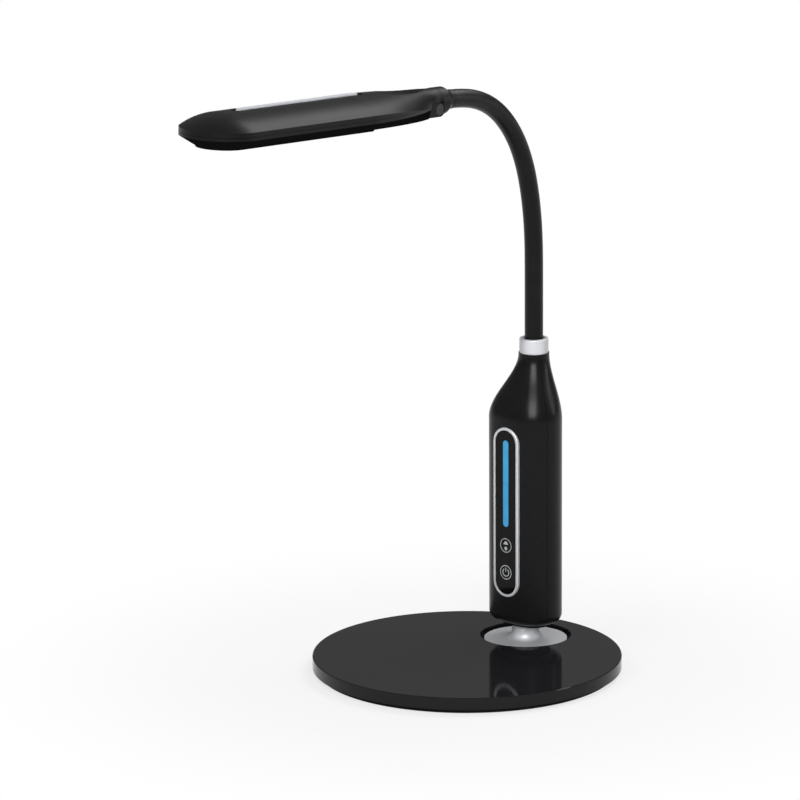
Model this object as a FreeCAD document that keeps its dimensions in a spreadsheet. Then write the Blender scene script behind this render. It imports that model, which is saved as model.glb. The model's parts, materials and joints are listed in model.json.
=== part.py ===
import FreeCAD, Part
import math
import os
import re

import Sketcher
from FreeCAD import Matrix, Placement, Rotation, Vector

# Gooseneck desk lamp, in millimetres and degrees.
# Origin: centre of the round base on the desk. +Z is up, the head points to -Y, +X is the lamp's left.

doc = FreeCAD.newDocument("gooseneck_desk_lamp")

# Driving sizes
SIZES = (
    # round base
    ("base_radius", 100.0),
    ("base_height", 11.0),
    ("foot_thick", 1.0),
    ("foot_inset", 0.5),
    ("foot_skin", 0.2),
    ("cover_side_gap", 1.1),
    ("cover_thick", 1.4),
    ("cover_lip_wall", 2.0),
    ("cover_lip_height", 2.0),
    ("skirt_gap", 2.0),
    ("skirt_wall", 2.4),
    ("base_top_wall", 2.2),
    ("base_edge_bevel", 0.5),
    ("weight_side_gap", 2.5),
    ("weight_thick", 3.4),
    ("weight_window_radius", 34.0),
    ("base_screw_circle", 74.0),
    ("base_screw_turn", 45.0),
    ("base_screw_room", 0.2),
    ("base_boss_radius", 3.6),
    ("base_boss_gap", 0.9),
    ("base_screw_radius", 1.5),
    ("base_screw_head_radius", 2.8),
    ("base_screw_head_thick", 0.7),
    # turntable in the base
    ("stem_offset", 58.5),
    ("well_radius", 29.7),
    ("well_wall", 1.8),
    ("well_floor", 1.4),
    ("well_depth", 4.0),
    ("dish_radius", 27.0),
    ("dish_drop", 2.0),
    ("dish_rim", 1.3),
    ("bush_flange_radius", 13.0),
    ("bush_flange_thick", 0.6),
    ("bush_sleeve_wall", 1.9),
    ("spindle_radius", 5.0),
    ("spindle_clearance", 0.05),
    ("spindle_end_height", 3.2),
    ("spring_washer_radius", 9.5),
    ("spring_washer_thick", 0.6),
    ("swivel_nut_radius", 8.2),
    ("swivel_nut_thick", 1.7),
    ("stem_radius", 9.0),
    ("stem_flare", 5.5),
    ("stem_spigot_radius", 6.0),
    # upright body
    ("body_gap", 10.4),
    ("body_half_width", 25.25),
    ("body_half_depth", 19.5),
    ("body_corner_turn", 77.0),
    ("body_wall", 2.0),
    ("body_foot_radius", 6.0),
    ("body_height", 177.9),
    ("shoulder_rise", 135.9),
    ("neck_rim", 0.8),
    ("neck_radius", 10.0),
    ("neck_setback", 8.4),
    ("seam_forward", 6.4),
    ("seam_forward_neck", 5.3),
    ("seam_gap", 0.25),
    ("cap_inset", 7.6),
    ("cap_below", 2.0),
    ("cap_flange", 1.4),
    ("cap_flange_thick", 1.8),
    ("cap_clearance", 0.1),
    ("stem_nut_radius", 10.5),
    ("stem_nut_thick", 4.0),
    # touch panel
    ("panel_rise", 75.9),
    ("panel_half_width", 10.4),
    ("panel_half_height", 56.7),
    ("trim_band", 1.76),
    ("trim_proud", 0.65),
    ("trim_seat", 1.5),
    ("trim_edge", 0.35),
    ("panel_clearance", 0.05),
    ("lens_sunk", 0.35),
    ("lens_thick", 2.0),
    ("slider_rise", 19.3),
    ("slider_half_width", 2.2),
    ("slider_half_height", 28.8),
    ("slider_sunk", 0.25),
    ("board_thick", 1.6),
    ("touch_board_side", 0.6),
    ("touch_board_inset", 4.7),
    ("touch_board_back", 3.4),
    ("touch_chip_side", 5.0),
    ("touch_chip_thick", 1.2),
    ("touch_chip_low", 30.0),
    ("touch_chip_high", 20.0),
    # inside the body
    ("driver_board_half_width", 15.0),
    ("driver_board_rise", 42.6),
    ("driver_board_height", 62.0),
    ("driver_board_back", 13.0),
    ("standoff_radius", 2.5),
    ("driver_coil_radius", 5.0),
    ("driver_coil_height", 7.0),
    ("driver_part_inset", 12.0),
    ("driver_part_offset", 7.0),
    ("post_radius", 3.2),
    ("post_screw_radius", 1.4),
    ("post_screw_head_radius", 2.6),
    ("post_screw_head_thick", 1.6),
    ("post_low_rise", 31.6),
    ("post_high_rise", 116.6),
    ("bridge_thick", 1.6),
    ("post_screw_recess", 0.3),
    ("standoff_inset", 6.0),
    ("jack_rise", 14.6),
    ("jack_half_width", 5.0),
    ("jack_half_height", 5.5),
    ("jack_depth", 11.0),
    ("jack_nose_radius", 4.6),
    ("jack_bore_radius", 3.1),
    ("jack_bore_depth", 9.5),
    ("jack_pin_radius", 1.0),
    ("jack_clearance", 0.1),
    ("jack_wall_gap", 0.4),
    ("jack_sunk", 0.2),
    # collar and gooseneck
    ("collar_radius", 9.45),
    ("collar_height", 9.5),
    ("collar_edge", 1.0),
    ("collar_recess_radius", 7.2),
    ("collar_recess_depth", 1.6),
    ("sleeve_radius", 6.0),
    ("sleeve_wall", 1.1),
    ("sleeve_clearance", 0.1),
    ("hose_radius", 4.6),
    ("hose_bore_radius", 2.6),
    ("hose_gap", 0.15),
    ("neck_start_gap", 0.2),
    ("stretch_length", 17.75),
    ("turn_one", 0.0),
    ("turn_two", 0.0),
    ("turn_three", 0.5),
    ("turn_four", 3.7),
    ("turn_five", 4.8),
    ("turn_six", 5.6),
    ("turn_seven", 9.3),
    ("turn_eight", 11.4),
    ("turn_nine", 13.0),
    ("turn_ten", 15.8),
    ("turn_eleven", 14.6),
    ("turn_twelve", 7.9),
    ("root_depth", 20.0),
    ("root_sleeve_depth", 9.0),
    ("ferrule_radius", 7.6),
    ("ferrule_depth", 13.3),
    ("ferrule_nut_radius", 8.9),
    ("ferrule_nut_thick", 3.0),
    # knuckle and tilt hinge
    ("knuckle_radius", 8.8),
    ("knuckle_mouth_radius", 6.2),
    ("knuckle_lip", 3.5),
    ("knuckle_flare", 9.0),
    ("knuckle_socket", 8.0),
    ("pivot_forward", 19.4),
    ("pivot_drop", 4.0),
    ("pivot_radius", 2.0),
    ("pivot_clearance", 0.05),
    ("pivot_cap_radius", 3.6),
    ("pivot_cap_thick", 1.4),
    ("knuckle_face", 3.7),
    ("tongue_half_width", 3.5),
    ("tongue_end_radius", 4.3),
    ("friction_washer_thick", 0.5),
    ("friction_washer_radius", 4.0),
    ("hinge_gap", 0.3),
    ("relief_lean", 30.0),
    ("cheek_end_radius", 4.5),
    ("yoke_reach", 30.0),
    ("yoke_back", 5.2),
    ("yoke_web", 5.0),
    ("yoke_plate_thick", 2.4),
    ("yoke_plate_half_width", 6.0),
    ("cheek_clearance", 0.2),
    ("cheek_room", 1.0),
    ("tongue_low_cut", 0.8),
    ("tongue_clearance", 0.1),
    # head
    ("head_half_width", 27.0),
    ("head_nose_centre", 190.0),
    ("head_rear", 3.2),
    ("head_edge_height", 6.0),
    ("head_crown_height", 15.35),
    ("head_top_split", 3.1),
    ("head_frame_split", 0.8),
    ("head_floor", 5.0),
    ("head_wall", 1.8),
    ("chine_inset", 9.8),
    ("tail_half_width", 9.0),
    ("tail_edge_drop", 5.0),
    ("tail_crown_drop", 2.5),
    ("tail_start", 7.0),
    ("tail_end", 84.0),
    ("head_seam_gap", 0.2),
    ("bezel_thick", 1.0),
    ("bezel_inset", 10.4),
    ("bezel_rear", 66.0),
    ("bezel_band", 2.2),
    ("bezel_rear_band", 6.0),
    ("diffuser_thick", 2.2),
    ("diffuser_proud", 0.4),
    ("diffuser_clearance", 0.1),
    ("frame_band", 2.6),
    ("light_board_thick", 1.2),
    ("light_board_inset", 7.4),
    ("light_board_rear", 4.0),
    ("chip_side", 3.0),
    ("chip_thick", 0.7),
    ("chip_pitch", 16.0),
    ("chip_row_gap", 16.0),
    ("chip_start", 16.0),
    ("bar_rear", 70.0),
    ("bar_front", 178.0),
    ("bar_half_width", 2.7),
    ("bar_proud", 0.5),
    ("bar_sunk", 0.9),
    ("bar_slot_extra", 4.5),
    ("bar_slot_side", 0.5),
    ("scoop_rear", 9.0),
    ("scoop_front", 49.5),
    ("scoop_depth", 1.3),
    ("scoop_drop", 1.45),
    ("scoop_lean", 2.65),
    ("head_boss_radius", 2.6),
    ("head_boss_gap", 0.8),
    ("head_screw_first", 15.0),
    ("head_screw_second", 25.0),
    ("head_screw_radius", 1.2),
    ("head_screw_head_radius", 2.3),
    ("head_screw_head_thick", 0.9),
    ("head_screw_grip", 3.0),
)

sheet = doc.addObject("Spreadsheet::Sheet", "Sizes")
for row, (alias, value) in enumerate(SIZES, 1):
    sheet.set("A%d" % row, alias)
    sheet.set("B%d" % row, str(value))
    sheet.setAlias("B%d" % row, alias)
doc.recompute()

# Places that follow from the driving sizes
DERIVED = {
    "cover_radius": "base_radius - skirt_wall - cover_side_gap",
    "foot_radius": "cover_radius - foot_inset",
    "weight_radius": "cover_radius - cover_lip_wall - weight_side_gap",
    "skirt_bottom": "foot_thick + skirt_gap",
    "cover_top": "foot_thick + cover_thick",
    "plate_bottom": "base_height - base_top_wall",
    "well_bottom": "base_height - well_depth",
    "well_underside": "base_height - well_depth - well_floor",
    "dish_bottom": "base_height - well_depth + bush_flange_thick",
    "dish_top": "base_height - dish_drop",
    "body_bottom": "base_height + body_gap",
    "neck_top": "body_bottom + body_height",
    "shoulder_low": "body_bottom + shoulder_rise",
    "shoulder_high": "neck_top - neck_rim",
    "panel_centre": "body_bottom + panel_rise",
    "slider_centre": "panel_centre + slider_rise",
    "touch_board_half_width": "panel_half_width + touch_board_side",
    "touch_board_half_height": "panel_half_height - touch_board_inset",
    "driver_board_low": "body_bottom + driver_board_rise",
    "driver_board_high": "driver_board_low + driver_board_height",
    "post_low": "body_bottom + post_low_rise",
    "post_high": "body_bottom + post_high_rise",
    "jack_height": "body_bottom + jack_rise",
    "collar_top": "neck_top + collar_height",
    "neck_start": "collar_top + neck_start_gap",
    "ferrule_low": "neck_top - ferrule_depth",
    "cap_bottom": "base_height + body_gap - cap_below",
    "shell_floor": "base_height + body_gap + body_wall",
    "cap_top": "base_height + body_gap + body_wall + cap_flange_thick",
    "body_front": "stem_offset - body_half_depth",
    "body_rear": "stem_offset + body_half_depth",
    "neck_offset": "stem_offset + neck_setback",
    "cheek_half_width": "tail_half_width",
    "trim_front": "stem_offset - body_half_depth - trim_proud",
    "trim_back": "stem_offset - body_half_depth + trim_seat",
    "seam_offset": "stem_offset - seam_forward",
    "hose_rim": "sqrt((hose_radius + hose_gap)^2 - hose_bore_radius^2)",
}

WORD = re.compile(r"\b[a-z]+(?:_[a-z0-9]+)+\b")


def ex(text):
    """A formula in size names, written the way the sheet reads it."""

    def swap(match):
        word = match.group(0)
        return "(" + ex(DERIVED[word]) + ")" if word in DERIVED else "Sizes." + word

    return WORD.sub(swap, str(text))


def num(text):
    return float(sheet.evalExpression(ex(text)))


NODES = {}


def node(name, obj):
    """Gives a finished sub-part its name."""
    obj.Label = name
    NODES[name] = obj
    return obj


def place(obj, x="0", y="0", z="0", rotation=None):
    if rotation is not None:
        obj.Placement = Placement(Vector(), rotation)
    for axis, text in zip("xyz", (x, y, z)):
        obj.setExpression("Placement.Base." + axis, ex(text))
    return obj


ALONG_X = Rotation(Vector(0, 1, 0), 90)
ALONG_Y = Rotation(Vector(1, 0, 0), -90)


def cylinder(name, radius, height, x="0", y="0", z="0", rotation=None):
    obj = doc.addObject("Part::Cylinder", name)
    obj.setExpression("Radius", ex(radius))
    obj.setExpression("Height", ex(height))
    return place(obj, x, y, z, rotation)


def block(name, sizes, x="0", y="0", z="0"):
    """A box from its lowest corner."""
    obj = doc.addObject("Part::Box", name)
    for prop, text in zip(("Length", "Width", "Height"), sizes):
        obj.setExpression(prop, ex(text))
    return place(obj, x, y, z)


def hexagon(name, radius, height, x="0", y="0", z="0"):
    obj = doc.addObject("Part::Prism", name)
    obj.Polygon = 6
    obj.setExpression("Circumradius", ex(radius))
    obj.setExpression("Height", ex(height))
    return place(obj, x, y, z)


def fuse(name, *shapes):
    obj = doc.addObject("Part::MultiFuse", name)
    obj.Shapes = list(shapes)
    obj.Refine = True
    return obj


def cut(name, base, *tools):
    obj = doc.addObject("Part::Cut", name)
    obj.Base = base
    obj.Tool = tools[0] if len(tools) == 1 else fuse(name + "_tools", *tools)
    obj.Refine = True
    return obj


def common(name, one, other):
    obj = doc.addObject("Part::Common", name)
    obj.Base = one
    obj.Tool = other
    obj.Refine = True
    return obj


def feature(name, shape):
    obj = doc.addObject("Part::Feature", name)
    obj.Shape = shape
    return obj


def draw(sketch, points):
    """Draws a closed outline and ties every corner to its formulas.

    A point is (x, y), or (x, y, centre x, centre y, turn) where an arc leaves it.
    """
    spots = [Vector(num(p[0]), num(p[1]), 0) for p in points]
    ends = []
    for i, point in enumerate(points):
        here, there = spots[i], spots[(i + 1) % len(points)]
        if len(point) == 2:
            edge = Part.LineSegment(here, there)
        else:
            centre = Vector(num(point[2]), num(point[3]), 0)
            first, last = (here, there) if point[4] == "ccw" else (there, here)
            low = math.atan2(first.y - centre.y, first.x - centre.x)
            high = math.atan2(last.y - centre.y, last.x - centre.x)
            middle = low + (high - low) % (2 * math.pi) / 2
            radius = (first - centre).Length
            top = centre + Vector(radius * math.cos(middle), radius * math.sin(middle), 0)
            edge = Part.Arc(first, top, last)
        index = sketch.addGeometry(edge, False)
        starts = sketch.Geometry[index].StartPoint.distanceToPoint(here) < 1e-6
        ends.append((1, 2) if starts else (2, 1))

    def tie(geometry, spot, kind, text):
        if str(text) == "0":
            axis = -2 if kind == "DistanceX" else -1
            sketch.addConstraint(Sketcher.Constraint("PointOnObject", geometry, spot, axis))
            return
        index = sketch.addConstraint(Sketcher.Constraint(kind, -1, 1, geometry, spot, num(text)))
        sketch.setExpression("Constraints[%d]" % index, ex(text))

    for i, point in enumerate(points):
        after = (i + 1) % len(points)
        sketch.addConstraint(Sketcher.Constraint("Coincident", i, ends[i][1], after, ends[after][0]))
    for i, point in enumerate(points):
        tie(i, ends[i][0], "DistanceX", point[0])
        tie(i, ends[i][0], "DistanceY", point[1])
        if len(point) > 2:
            chord = spots[(i + 1) % len(points)] - spots[i]
            if abs(chord.x) >= abs(chord.y):
                tie(i, 3, "DistanceY", point[3])
            else:
                tie(i, 3, "DistanceX", point[2])


def sketched(name, plane, points):
    body = doc.addObject("PartDesign::Body", name)
    sketch = body.newObject("Sketcher::SketchObject", name + "_sketch")
    sides = [f for f in body.Origin.OriginFeatures if f.Role == plane]
    sketch.AttachmentSupport = [(sides[0], "")]
    sketch.MapMode = "FlatFace"
    draw(sketch, points)
    return body, sketch


def turned(name, points, x="0", y="0", z="0", rotation=None):
    """A revolved piece; its outline is in (radius, height)."""
    body, sketch = sketched(name, "XZ_Plane", points)
    turn = body.newObject("PartDesign::Revolution", name + "_turn")
    turn.Profile = sketch
    turn.ReferenceAxis = (sketch, ["V_Axis"])
    turn.Angle = 360
    return place(body, x, y, z, rotation)


def padded(name, plane, points, length, x="0", y="0", z="0"):
    """A piece of even thickness. On XZ_Plane it grows to -Y, on YZ_Plane to +X, on XY_Plane to +Z."""
    body, sketch = sketched(name, plane, points)
    pad = body.newObject("PartDesign::Pad", name + "_pad")
    pad.Profile = sketch
    pad.setExpression("Length", ex(length))
    return place(body, x, y, z)


def lozenge(half_width, half_length):
    """An upright outline with straight sides and round ends; half_length includes the ends."""
    w = half_width
    s = "(%s - (%s))" % (half_length, half_width)
    return [
        ("-(%s)" % w, "-%s" % s, "0", "-%s" % s, "ccw"),
        (w, "-%s" % s),
        (w, s, "0", s, "ccw"),
        ("-(%s)" % w, s),
    ]


def around(count, first, radius):
    """Spots on a circle about the base's centre, as formulas."""
    for i in range(count):
        angle = "(%s + %g) * 1 deg" % (first, i * 360.0 / count)
        yield "%s * cos(%s)" % (radius, angle), "%s * sin(%s)" % (radius, angle)


# Round base: foot pad, bottom cover, steel weight, top shell and screws


def round_base():
    spots = list(around(4, "base_screw_turn", "base_screw_circle"))
    pad = cylinder("foot_disc", "foot_radius", "foot_thick")
    pockets = [
        cylinder(
            "foot_pocket_%d" % i,
            "base_screw_head_radius + base_screw_room",
            "foot_thick - foot_skin",
            x,
            y,
            "foot_skin",
        )
        for i, (x, y) in enumerate(spots)
    ]
    node("foot_pad", cut("foot_pad_cut", pad, *pockets))

    lip = "cover_radius - cover_lip_wall"
    lip_top = "cover_top + cover_lip_height"
    cover = turned(
        "cover_turned",
        [
            ("0", "foot_thick"),
            ("cover_radius", "foot_thick"),
            ("cover_radius", lip_top),
            (lip, lip_top),
            (lip, "cover_top"),
            ("0", "cover_top"),
        ],
    )
    holes = [
        cylinder("cover_hole_%d" % i, "base_screw_radius", "cover_thick", x, y, "foot_thick")
        for i, (x, y) in enumerate(spots)
    ]
    node("base_cover", cut("base_cover_cut", cover, *holes))

    weight = cylinder("weight_disc", "weight_radius", "weight_thick", z="cover_top")
    window = cylinder(
        "weight_window", "weight_window_radius", "weight_thick", y="stem_offset", z="cover_top"
    )
    room = [
        cylinder(
            "weight_room_%d" % i, "base_boss_radius + base_boss_gap", "weight_thick", x, y, "cover_top"
        )
        for i, (x, y) in enumerate(spots)
    ]
    node("base_weight", cut("base_weight_cut", weight, window, *room))

    inner = "base_radius - skirt_wall"
    shell = turned(
        "top_shell_turned",
        [
            ("0", "plate_bottom"),
            (inner, "plate_bottom"),
            (inner, "skirt_bottom"),
            ("base_radius", "skirt_bottom"),
            ("base_radius", "base_height - base_edge_bevel"),
            ("base_radius - base_edge_bevel", "base_height"),
            ("0", "base_height"),
        ],
    )
    well_depth = "well_depth + well_floor"
    cup = cylinder(
        "well_cup", "well_radius + well_wall", well_depth, y="stem_offset", z="well_underside"
    )
    bosses = [
        cylinder(
            "base_boss_%d" % i, "base_boss_radius", "plate_bottom - cover_top", x, y, "cover_top"
        )
        for i, (x, y) in enumerate(spots)
    ]
    drilled = [
        cylinder(
            "base_boss_hole_%d" % i, "base_screw_radius", "plate_bottom - cover_top", x, y, "cover_top"
        )
        for i, (x, y) in enumerate(spots)
    ]
    well = cylinder("well_room", "well_radius", "well_depth", y="stem_offset", z="well_bottom")
    bush_hole = cylinder(
        "bush_hole",
        "spindle_radius + spindle_clearance + bush_sleeve_wall",
        well_depth,
        y="stem_offset",
        z="well_underside",
    )
    whole = fuse("top_shell_whole", shell, cup, *bosses)
    node("base_top_shell", cut("base_top_shell_cut", whole, well, bush_hole, *drilled))

    screws = []
    for i, (x, y) in enumerate(spots):
        shank = cylinder(
            "base_screw_shank_%d" % i,
            "base_screw_radius",
            "plate_bottom - foot_thick - 0.5 * base_top_wall",
            x,
            y,
            "foot_thick",
        )
        head = cylinder(
            "base_screw_head_%d" % i,
            "base_screw_head_radius",
            "base_screw_head_thick",
            x,
            y,
            "foot_thick - base_screw_head_thick",
        )
        screws.append(fuse("base_screw_%d" % i, shank, head))
    node("base_screws", together("base_screws_group", screws))


def together(name, pieces):
    """Alike loose pieces that share one node."""
    obj = doc.addObject("Part::Compound", name)
    obj.Links = list(pieces)
    return obj


# Turntable: the silver dish and stem turn in a bush in the base's well


def turntable():
    bore = "spindle_radius + spindle_clearance"
    sleeve = bore + " + bush_sleeve_wall - 0.02"
    bush = turned(
        "bush_turned",
        [
            (bore, "well_underside"),
            (sleeve, "well_underside"),
            (sleeve, "well_bottom"),
            ("bush_flange_radius", "well_bottom"),
            ("bush_flange_radius", "dish_bottom"),
            (bore, "dish_bottom"),
        ],
        y="stem_offset",
    )
    node("swivel_bush", bush)

    flare_top = "dish_top + stem_flare"
    dish = turned(
        "dish_turned",
        [
            ("0", "spindle_end_height"),
            ("spindle_radius", "spindle_end_height"),
            ("spindle_radius", "dish_bottom"),
            ("dish_radius - 0.3", "dish_bottom"),
            ("dish_radius", "dish_top - dish_rim + 0.3"),
            ("dish_radius", "dish_top"),
            ("dish_radius - 1.5", "dish_top"),
            ("stem_radius + stem_flare", "dish_top", "stem_radius + stem_flare", flare_top, "cw"),
            ("stem_radius", flare_top),
            ("stem_radius", "cap_bottom"),
            ("stem_spigot_radius", "cap_bottom"),
            ("stem_spigot_radius", "cap_top + stem_nut_thick + 1"),
            ("0", "cap_top + stem_nut_thick + 1"),
        ],
        y="stem_offset",
    )
    node("swivel_stem", dish)

    washer = cut(
        "spring_washer_cut",
        cylinder(
            "spring_washer_disc",
            "spring_washer_radius",
            "spring_washer_thick",
            y="stem_offset",
            z="well_underside - spring_washer_thick",
        ),
        cylinder(
            "spring_washer_hole",
            bore + " + 0.2",
            "spring_washer_thick",
            y="stem_offset",
            z="well_underside - spring_washer_thick",
        ),
    )
    node("spring_washer", washer)

    nut_low = "well_underside - spring_washer_thick - swivel_nut_thick"
    nut = cut(
        "swivel_nut_cut",
        hexagon("swivel_nut_hex", "swivel_nut_radius", "swivel_nut_thick", y="stem_offset", z=nut_low),
        cylinder("swivel_nut_bore", "spindle_radius", "swivel_nut_thick", y="stem_offset", z=nut_low),
    )
    node("swivel_nut", nut)

    stem_nut = cut(
        "stem_nut_cut",
        hexagon("stem_nut_hex", "stem_nut_radius", "stem_nut_thick", y="stem_offset", z="cap_top"),
        cylinder("stem_nut_bore", "stem_spigot_radius", "stem_nut_thick", y="stem_offset", z="cap_top"),
    )
    node("stem_nut", stem_nut)


# Upright body: a bottle shape of ovals that draws in and leans back to the neck


def oval(half_width, half_depth, y, z):
    """A closed oval of four arcs that meet without corners."""
    lean = math.radians(num("body_corner_turn"))
    reach = (half_width - half_depth) / (math.cos(lean) + math.sin(lean) - 1) * math.cos(lean)
    end = half_width - reach
    dx = reach + end * math.cos(lean)
    dy = end * math.sin(lean)

    def arc(start, middle, stop):
        spots = [Vector(px, y + py, z) for px, py in (start, middle, stop)]
        return Part.Arc(*spots).toShape()

    return Part.Wire(
        [
            arc((-dx, -dy), (0, -half_depth), (dx, -dy)),
            arc((dx, -dy), (half_width, 0), (dx, dy)),
            arc((dx, dy), (0, half_depth), (-dx, dy)),
            arc((-dx, dy), (-half_width, 0), (-dx, -dy)),
        ]
    )


def bottle(inset, bottom, foot):
    """The body's form, drawn in by inset, from bottom to the neck's top."""
    low, high, top = num("shoulder_low"), num("shoulder_high"), num("neck_top")
    wide = num("body_half_width") - inset
    deep = num("body_half_depth") - inset
    neck = num("neck_radius") - inset
    y = num("stem_offset")
    straight = Part.Face(oval(wide, deep, y, bottom)).extrude(Vector(0, 0, low - bottom))
    bottom_edges = [e for e in straight.Edges if e.BoundBox.ZMax < bottom + 0.01]
    straight = straight.makeFillet(foot, bottom_edges)
    wires = []
    for i in range(9):
        part = i / 8
        draw_in = 3 * part**2 - 2 * part**3
        wires.append(
            oval(
                wide + (neck - wide) * draw_in,
                deep + (neck - deep) * draw_in,
                y + num("neck_setback") * draw_in,
                low + (high - low) * part,
            )
        )
    shoulder = Part.makeLoft(wires, True, False)
    stub = Part.Face(wires[-1]).extrude(Vector(0, 0, top - high))
    return straight.fuse([shoulder, stub]).removeSplitter()


def seam_cutter(name, shift):
    """Everything in front of the seam between the front and rear shells."""
    step = num("seam_forward + neck_setback - seam_forward_neck")
    rise = num("shoulder_high - shoulder_low")
    radius = (rise**2 + step**2) / (4 * step)
    y0, z0 = num("seam_offset") + shift, num("shoulder_low")
    mid = Vector(0, y0 + step / 2, z0 + rise / 2)
    end = Vector(0, y0 + step, z0 + rise)
    swing = math.asin(rise / 2 / radius) / 2
    low_mid = Vector(0, y0 + radius * (1 - math.cos(swing)), z0 + radius * math.sin(swing))
    high_mid = Vector(0, end.y - radius * (1 - math.cos(swing)), end.z - radius * math.sin(swing))
    far = 60
    start = Vector(0, y0, z0)
    corners = [
        Vector(0, end.y, end.z + far),
        Vector(0, y0 - far, end.z + far),
        Vector(0, y0 - far, 0),
        Vector(0, y0, 0),
    ]
    edges = [
        Part.makeLine(corners[3], start),
        Part.Arc(start, low_mid, mid).toShape(),
        Part.Arc(mid, high_mid, end).toShape(),
        Part.makeLine(end, corners[0]),
        Part.makeLine(corners[0], corners[1]),
        Part.makeLine(corners[1], corners[2]),
        Part.makeLine(corners[2], corners[3]),
    ]
    face = Part.Face(Part.Wire(edges))
    face.translate(Vector(-far, 0, 0))
    return feature(name, face.extrude(Vector(2 * far, 0, 0)))


def upright_body():
    outer = feature("bottle_outer", bottle(0, num("body_bottom"), num("body_foot_radius")))
    wall = num("body_wall")
    inner_foot = num("body_foot_radius") - wall
    inner = feature("bottle_inner", bottle(wall, num("shell_floor"), inner_foot))
    opening = feature(
        "cap_opening",
        Part.Face(
            oval(
                num("body_half_width - cap_inset + cap_clearance"),
                num("body_half_depth - cap_inset + cap_clearance"),
                num("stem_offset"),
                num("body_bottom - 1"),
            )
        ).extrude(Vector(0, 0, wall + 2)),
    )
    shell = cut("bottle_shell", outer, inner, opening)

    seat = padded(
        "trim_seat_room",
        "XZ_Plane",
        lozenge("panel_half_width + panel_clearance", "panel_half_height + panel_clearance"),
        "trim_seat + trim_proud + 5",
        y="trim_back",
        z="panel_centre",
    )
    window = padded(
        "panel_window",
        "XZ_Plane",
        lozenge("panel_half_width - trim_band + panel_clearance", "panel_half_height - trim_band"),
        "body_half_depth",
        y="trim_back + 5",
        z="panel_centre",
    )
    drills = []
    heads = []
    rear_post_start = "seam_offset + 0.5 * seam_gap"
    rear_posts = []
    for i, height in enumerate(("post_low", "post_high")):
        rear_posts.append(
            cylinder(
                "rear_post_%d" % i,
                "post_radius",
                "body_rear - body_wall + 0.5 - (seam_offset)",
                y=rear_post_start,
                z=height,
                rotation=ALONG_Y,
            )
        )
        drills.append(
            cylinder(
                "post_drill_%d" % i,
                "post_screw_radius",
                "2 * body_half_depth",
                y="body_front + body_wall + touch_board_back + 3",
                z=height,
                rotation=ALONG_Y,
            )
        )
        heads.append(
            cylinder(
                "post_head_room_%d" % i,
                "post_screw_head_radius + panel_clearance",
                "post_screw_head_thick + 1",
                y="body_rear - post_screw_head_thick - post_screw_recess",
                z=height,
                rotation=ALONG_Y,
            )
        )
    front_half = common("front_half", shell, seam_cutter("front_cutter", -num("seam_gap") / 2))
    bridge = block(
        "front_bridge",
        ("2 * body_half_width - 3 * body_wall", "bridge_thick", "2 * post_radius"),
        "-(body_half_width - 1.5 * body_wall)",
        "seam_offset - 0.5 * seam_gap - bridge_thick",
        "post_low - post_radius",
    )
    bridge_high = block(
        "front_bridge_high",
        ("2 * body_half_width - 3 * body_wall", "bridge_thick", "2 * post_radius"),
        "-(body_half_width - 1.5 * body_wall)",
        "seam_offset - 0.5 * seam_gap - bridge_thick",
        "post_high - post_radius",
    )
    front = fuse("front_shell_whole", front_half, bridge, bridge_high)
    node("body_front_shell", cut("front_shell_cut", front, seat, window, *drills))

    rear_half = cut("rear_half", shell, seam_cutter("rear_cutter", num("seam_gap") / 2))
    jack_hole = cylinder(
        "jack_hole",
        "jack_nose_radius + jack_clearance",
        "3 * body_wall",
        y="body_rear - 2 * body_wall",
        z="jack_height",
        rotation=ALONG_Y,
    )
    board_back = "stem_offset + driver_board_back - body_wall"
    standoffs = [
        cylinder(
            "standoff_%d" % i,
            "standoff_radius",
            "body_rear - body_wall + 0.5 - (%s)" % board_back,
            y=board_back,
            z=height,
            rotation=ALONG_Y,
        )
        for i, height in enumerate((
            ("driver_board_low + standoff_inset", "driver_board_high - standoff_inset")
        ))
    ]
    rear = fuse("rear_shell_whole", rear_half, *rear_posts, *standoffs)
    node("body_rear_shell", cut("rear_shell_cut", rear, jack_hole, *drills, *heads))

    screws = []
    for i, height in enumerate(("post_low", "post_high")):
        shank = cylinder(
            "post_screw_shank_%d" % i,
            "post_screw_radius",
            "body_rear - 1 - (seam_offset - bridge_thick)",
            y="seam_offset - bridge_thick",
            z=height,
            rotation=ALONG_Y,
        )
        head = cylinder(
            "post_screw_head_%d" % i,
            "post_screw_head_radius",
            "post_screw_head_thick - 0.4",
            y="body_rear - post_screw_head_thick - post_screw_recess",
            z=height,
            rotation=ALONG_Y,
        )
        screws.append(fuse("post_screw_%d" % i, shank, head))
    node("body_screws", together("body_screws_group", screws))

    cap_low = Part.Face(
        oval(
            num("body_half_width - cap_inset"),
            num("body_half_depth - cap_inset"),
            num("stem_offset"),
            num("cap_bottom"),
        )
    ).extrude(Vector(0, 0, num("cap_below + body_wall")))
    cap_high = Part.Face(
        oval(
            num("body_half_width - cap_inset + cap_flange"),
            num("body_half_depth - cap_inset + cap_flange"),
            num("stem_offset"),
            num("shell_floor"),
        )
    ).extrude(Vector(0, 0, num("cap_flange_thick")))
    cap = feature("cap_whole", cap_low.fuse(cap_high).removeSplitter())
    spigot_hole = cylinder(
        "cap_hole",
        "stem_spigot_radius + cap_clearance",
        "cap_below + body_wall + cap_flange_thick",
        y="stem_offset",
        z="cap_bottom",
    )
    node("body_bottom_cap", cut("bottom_cap_cut", cap, spigot_hole))


# Touch panel: trim ring, dark lens, lit slider bar and the board behind them


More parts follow.
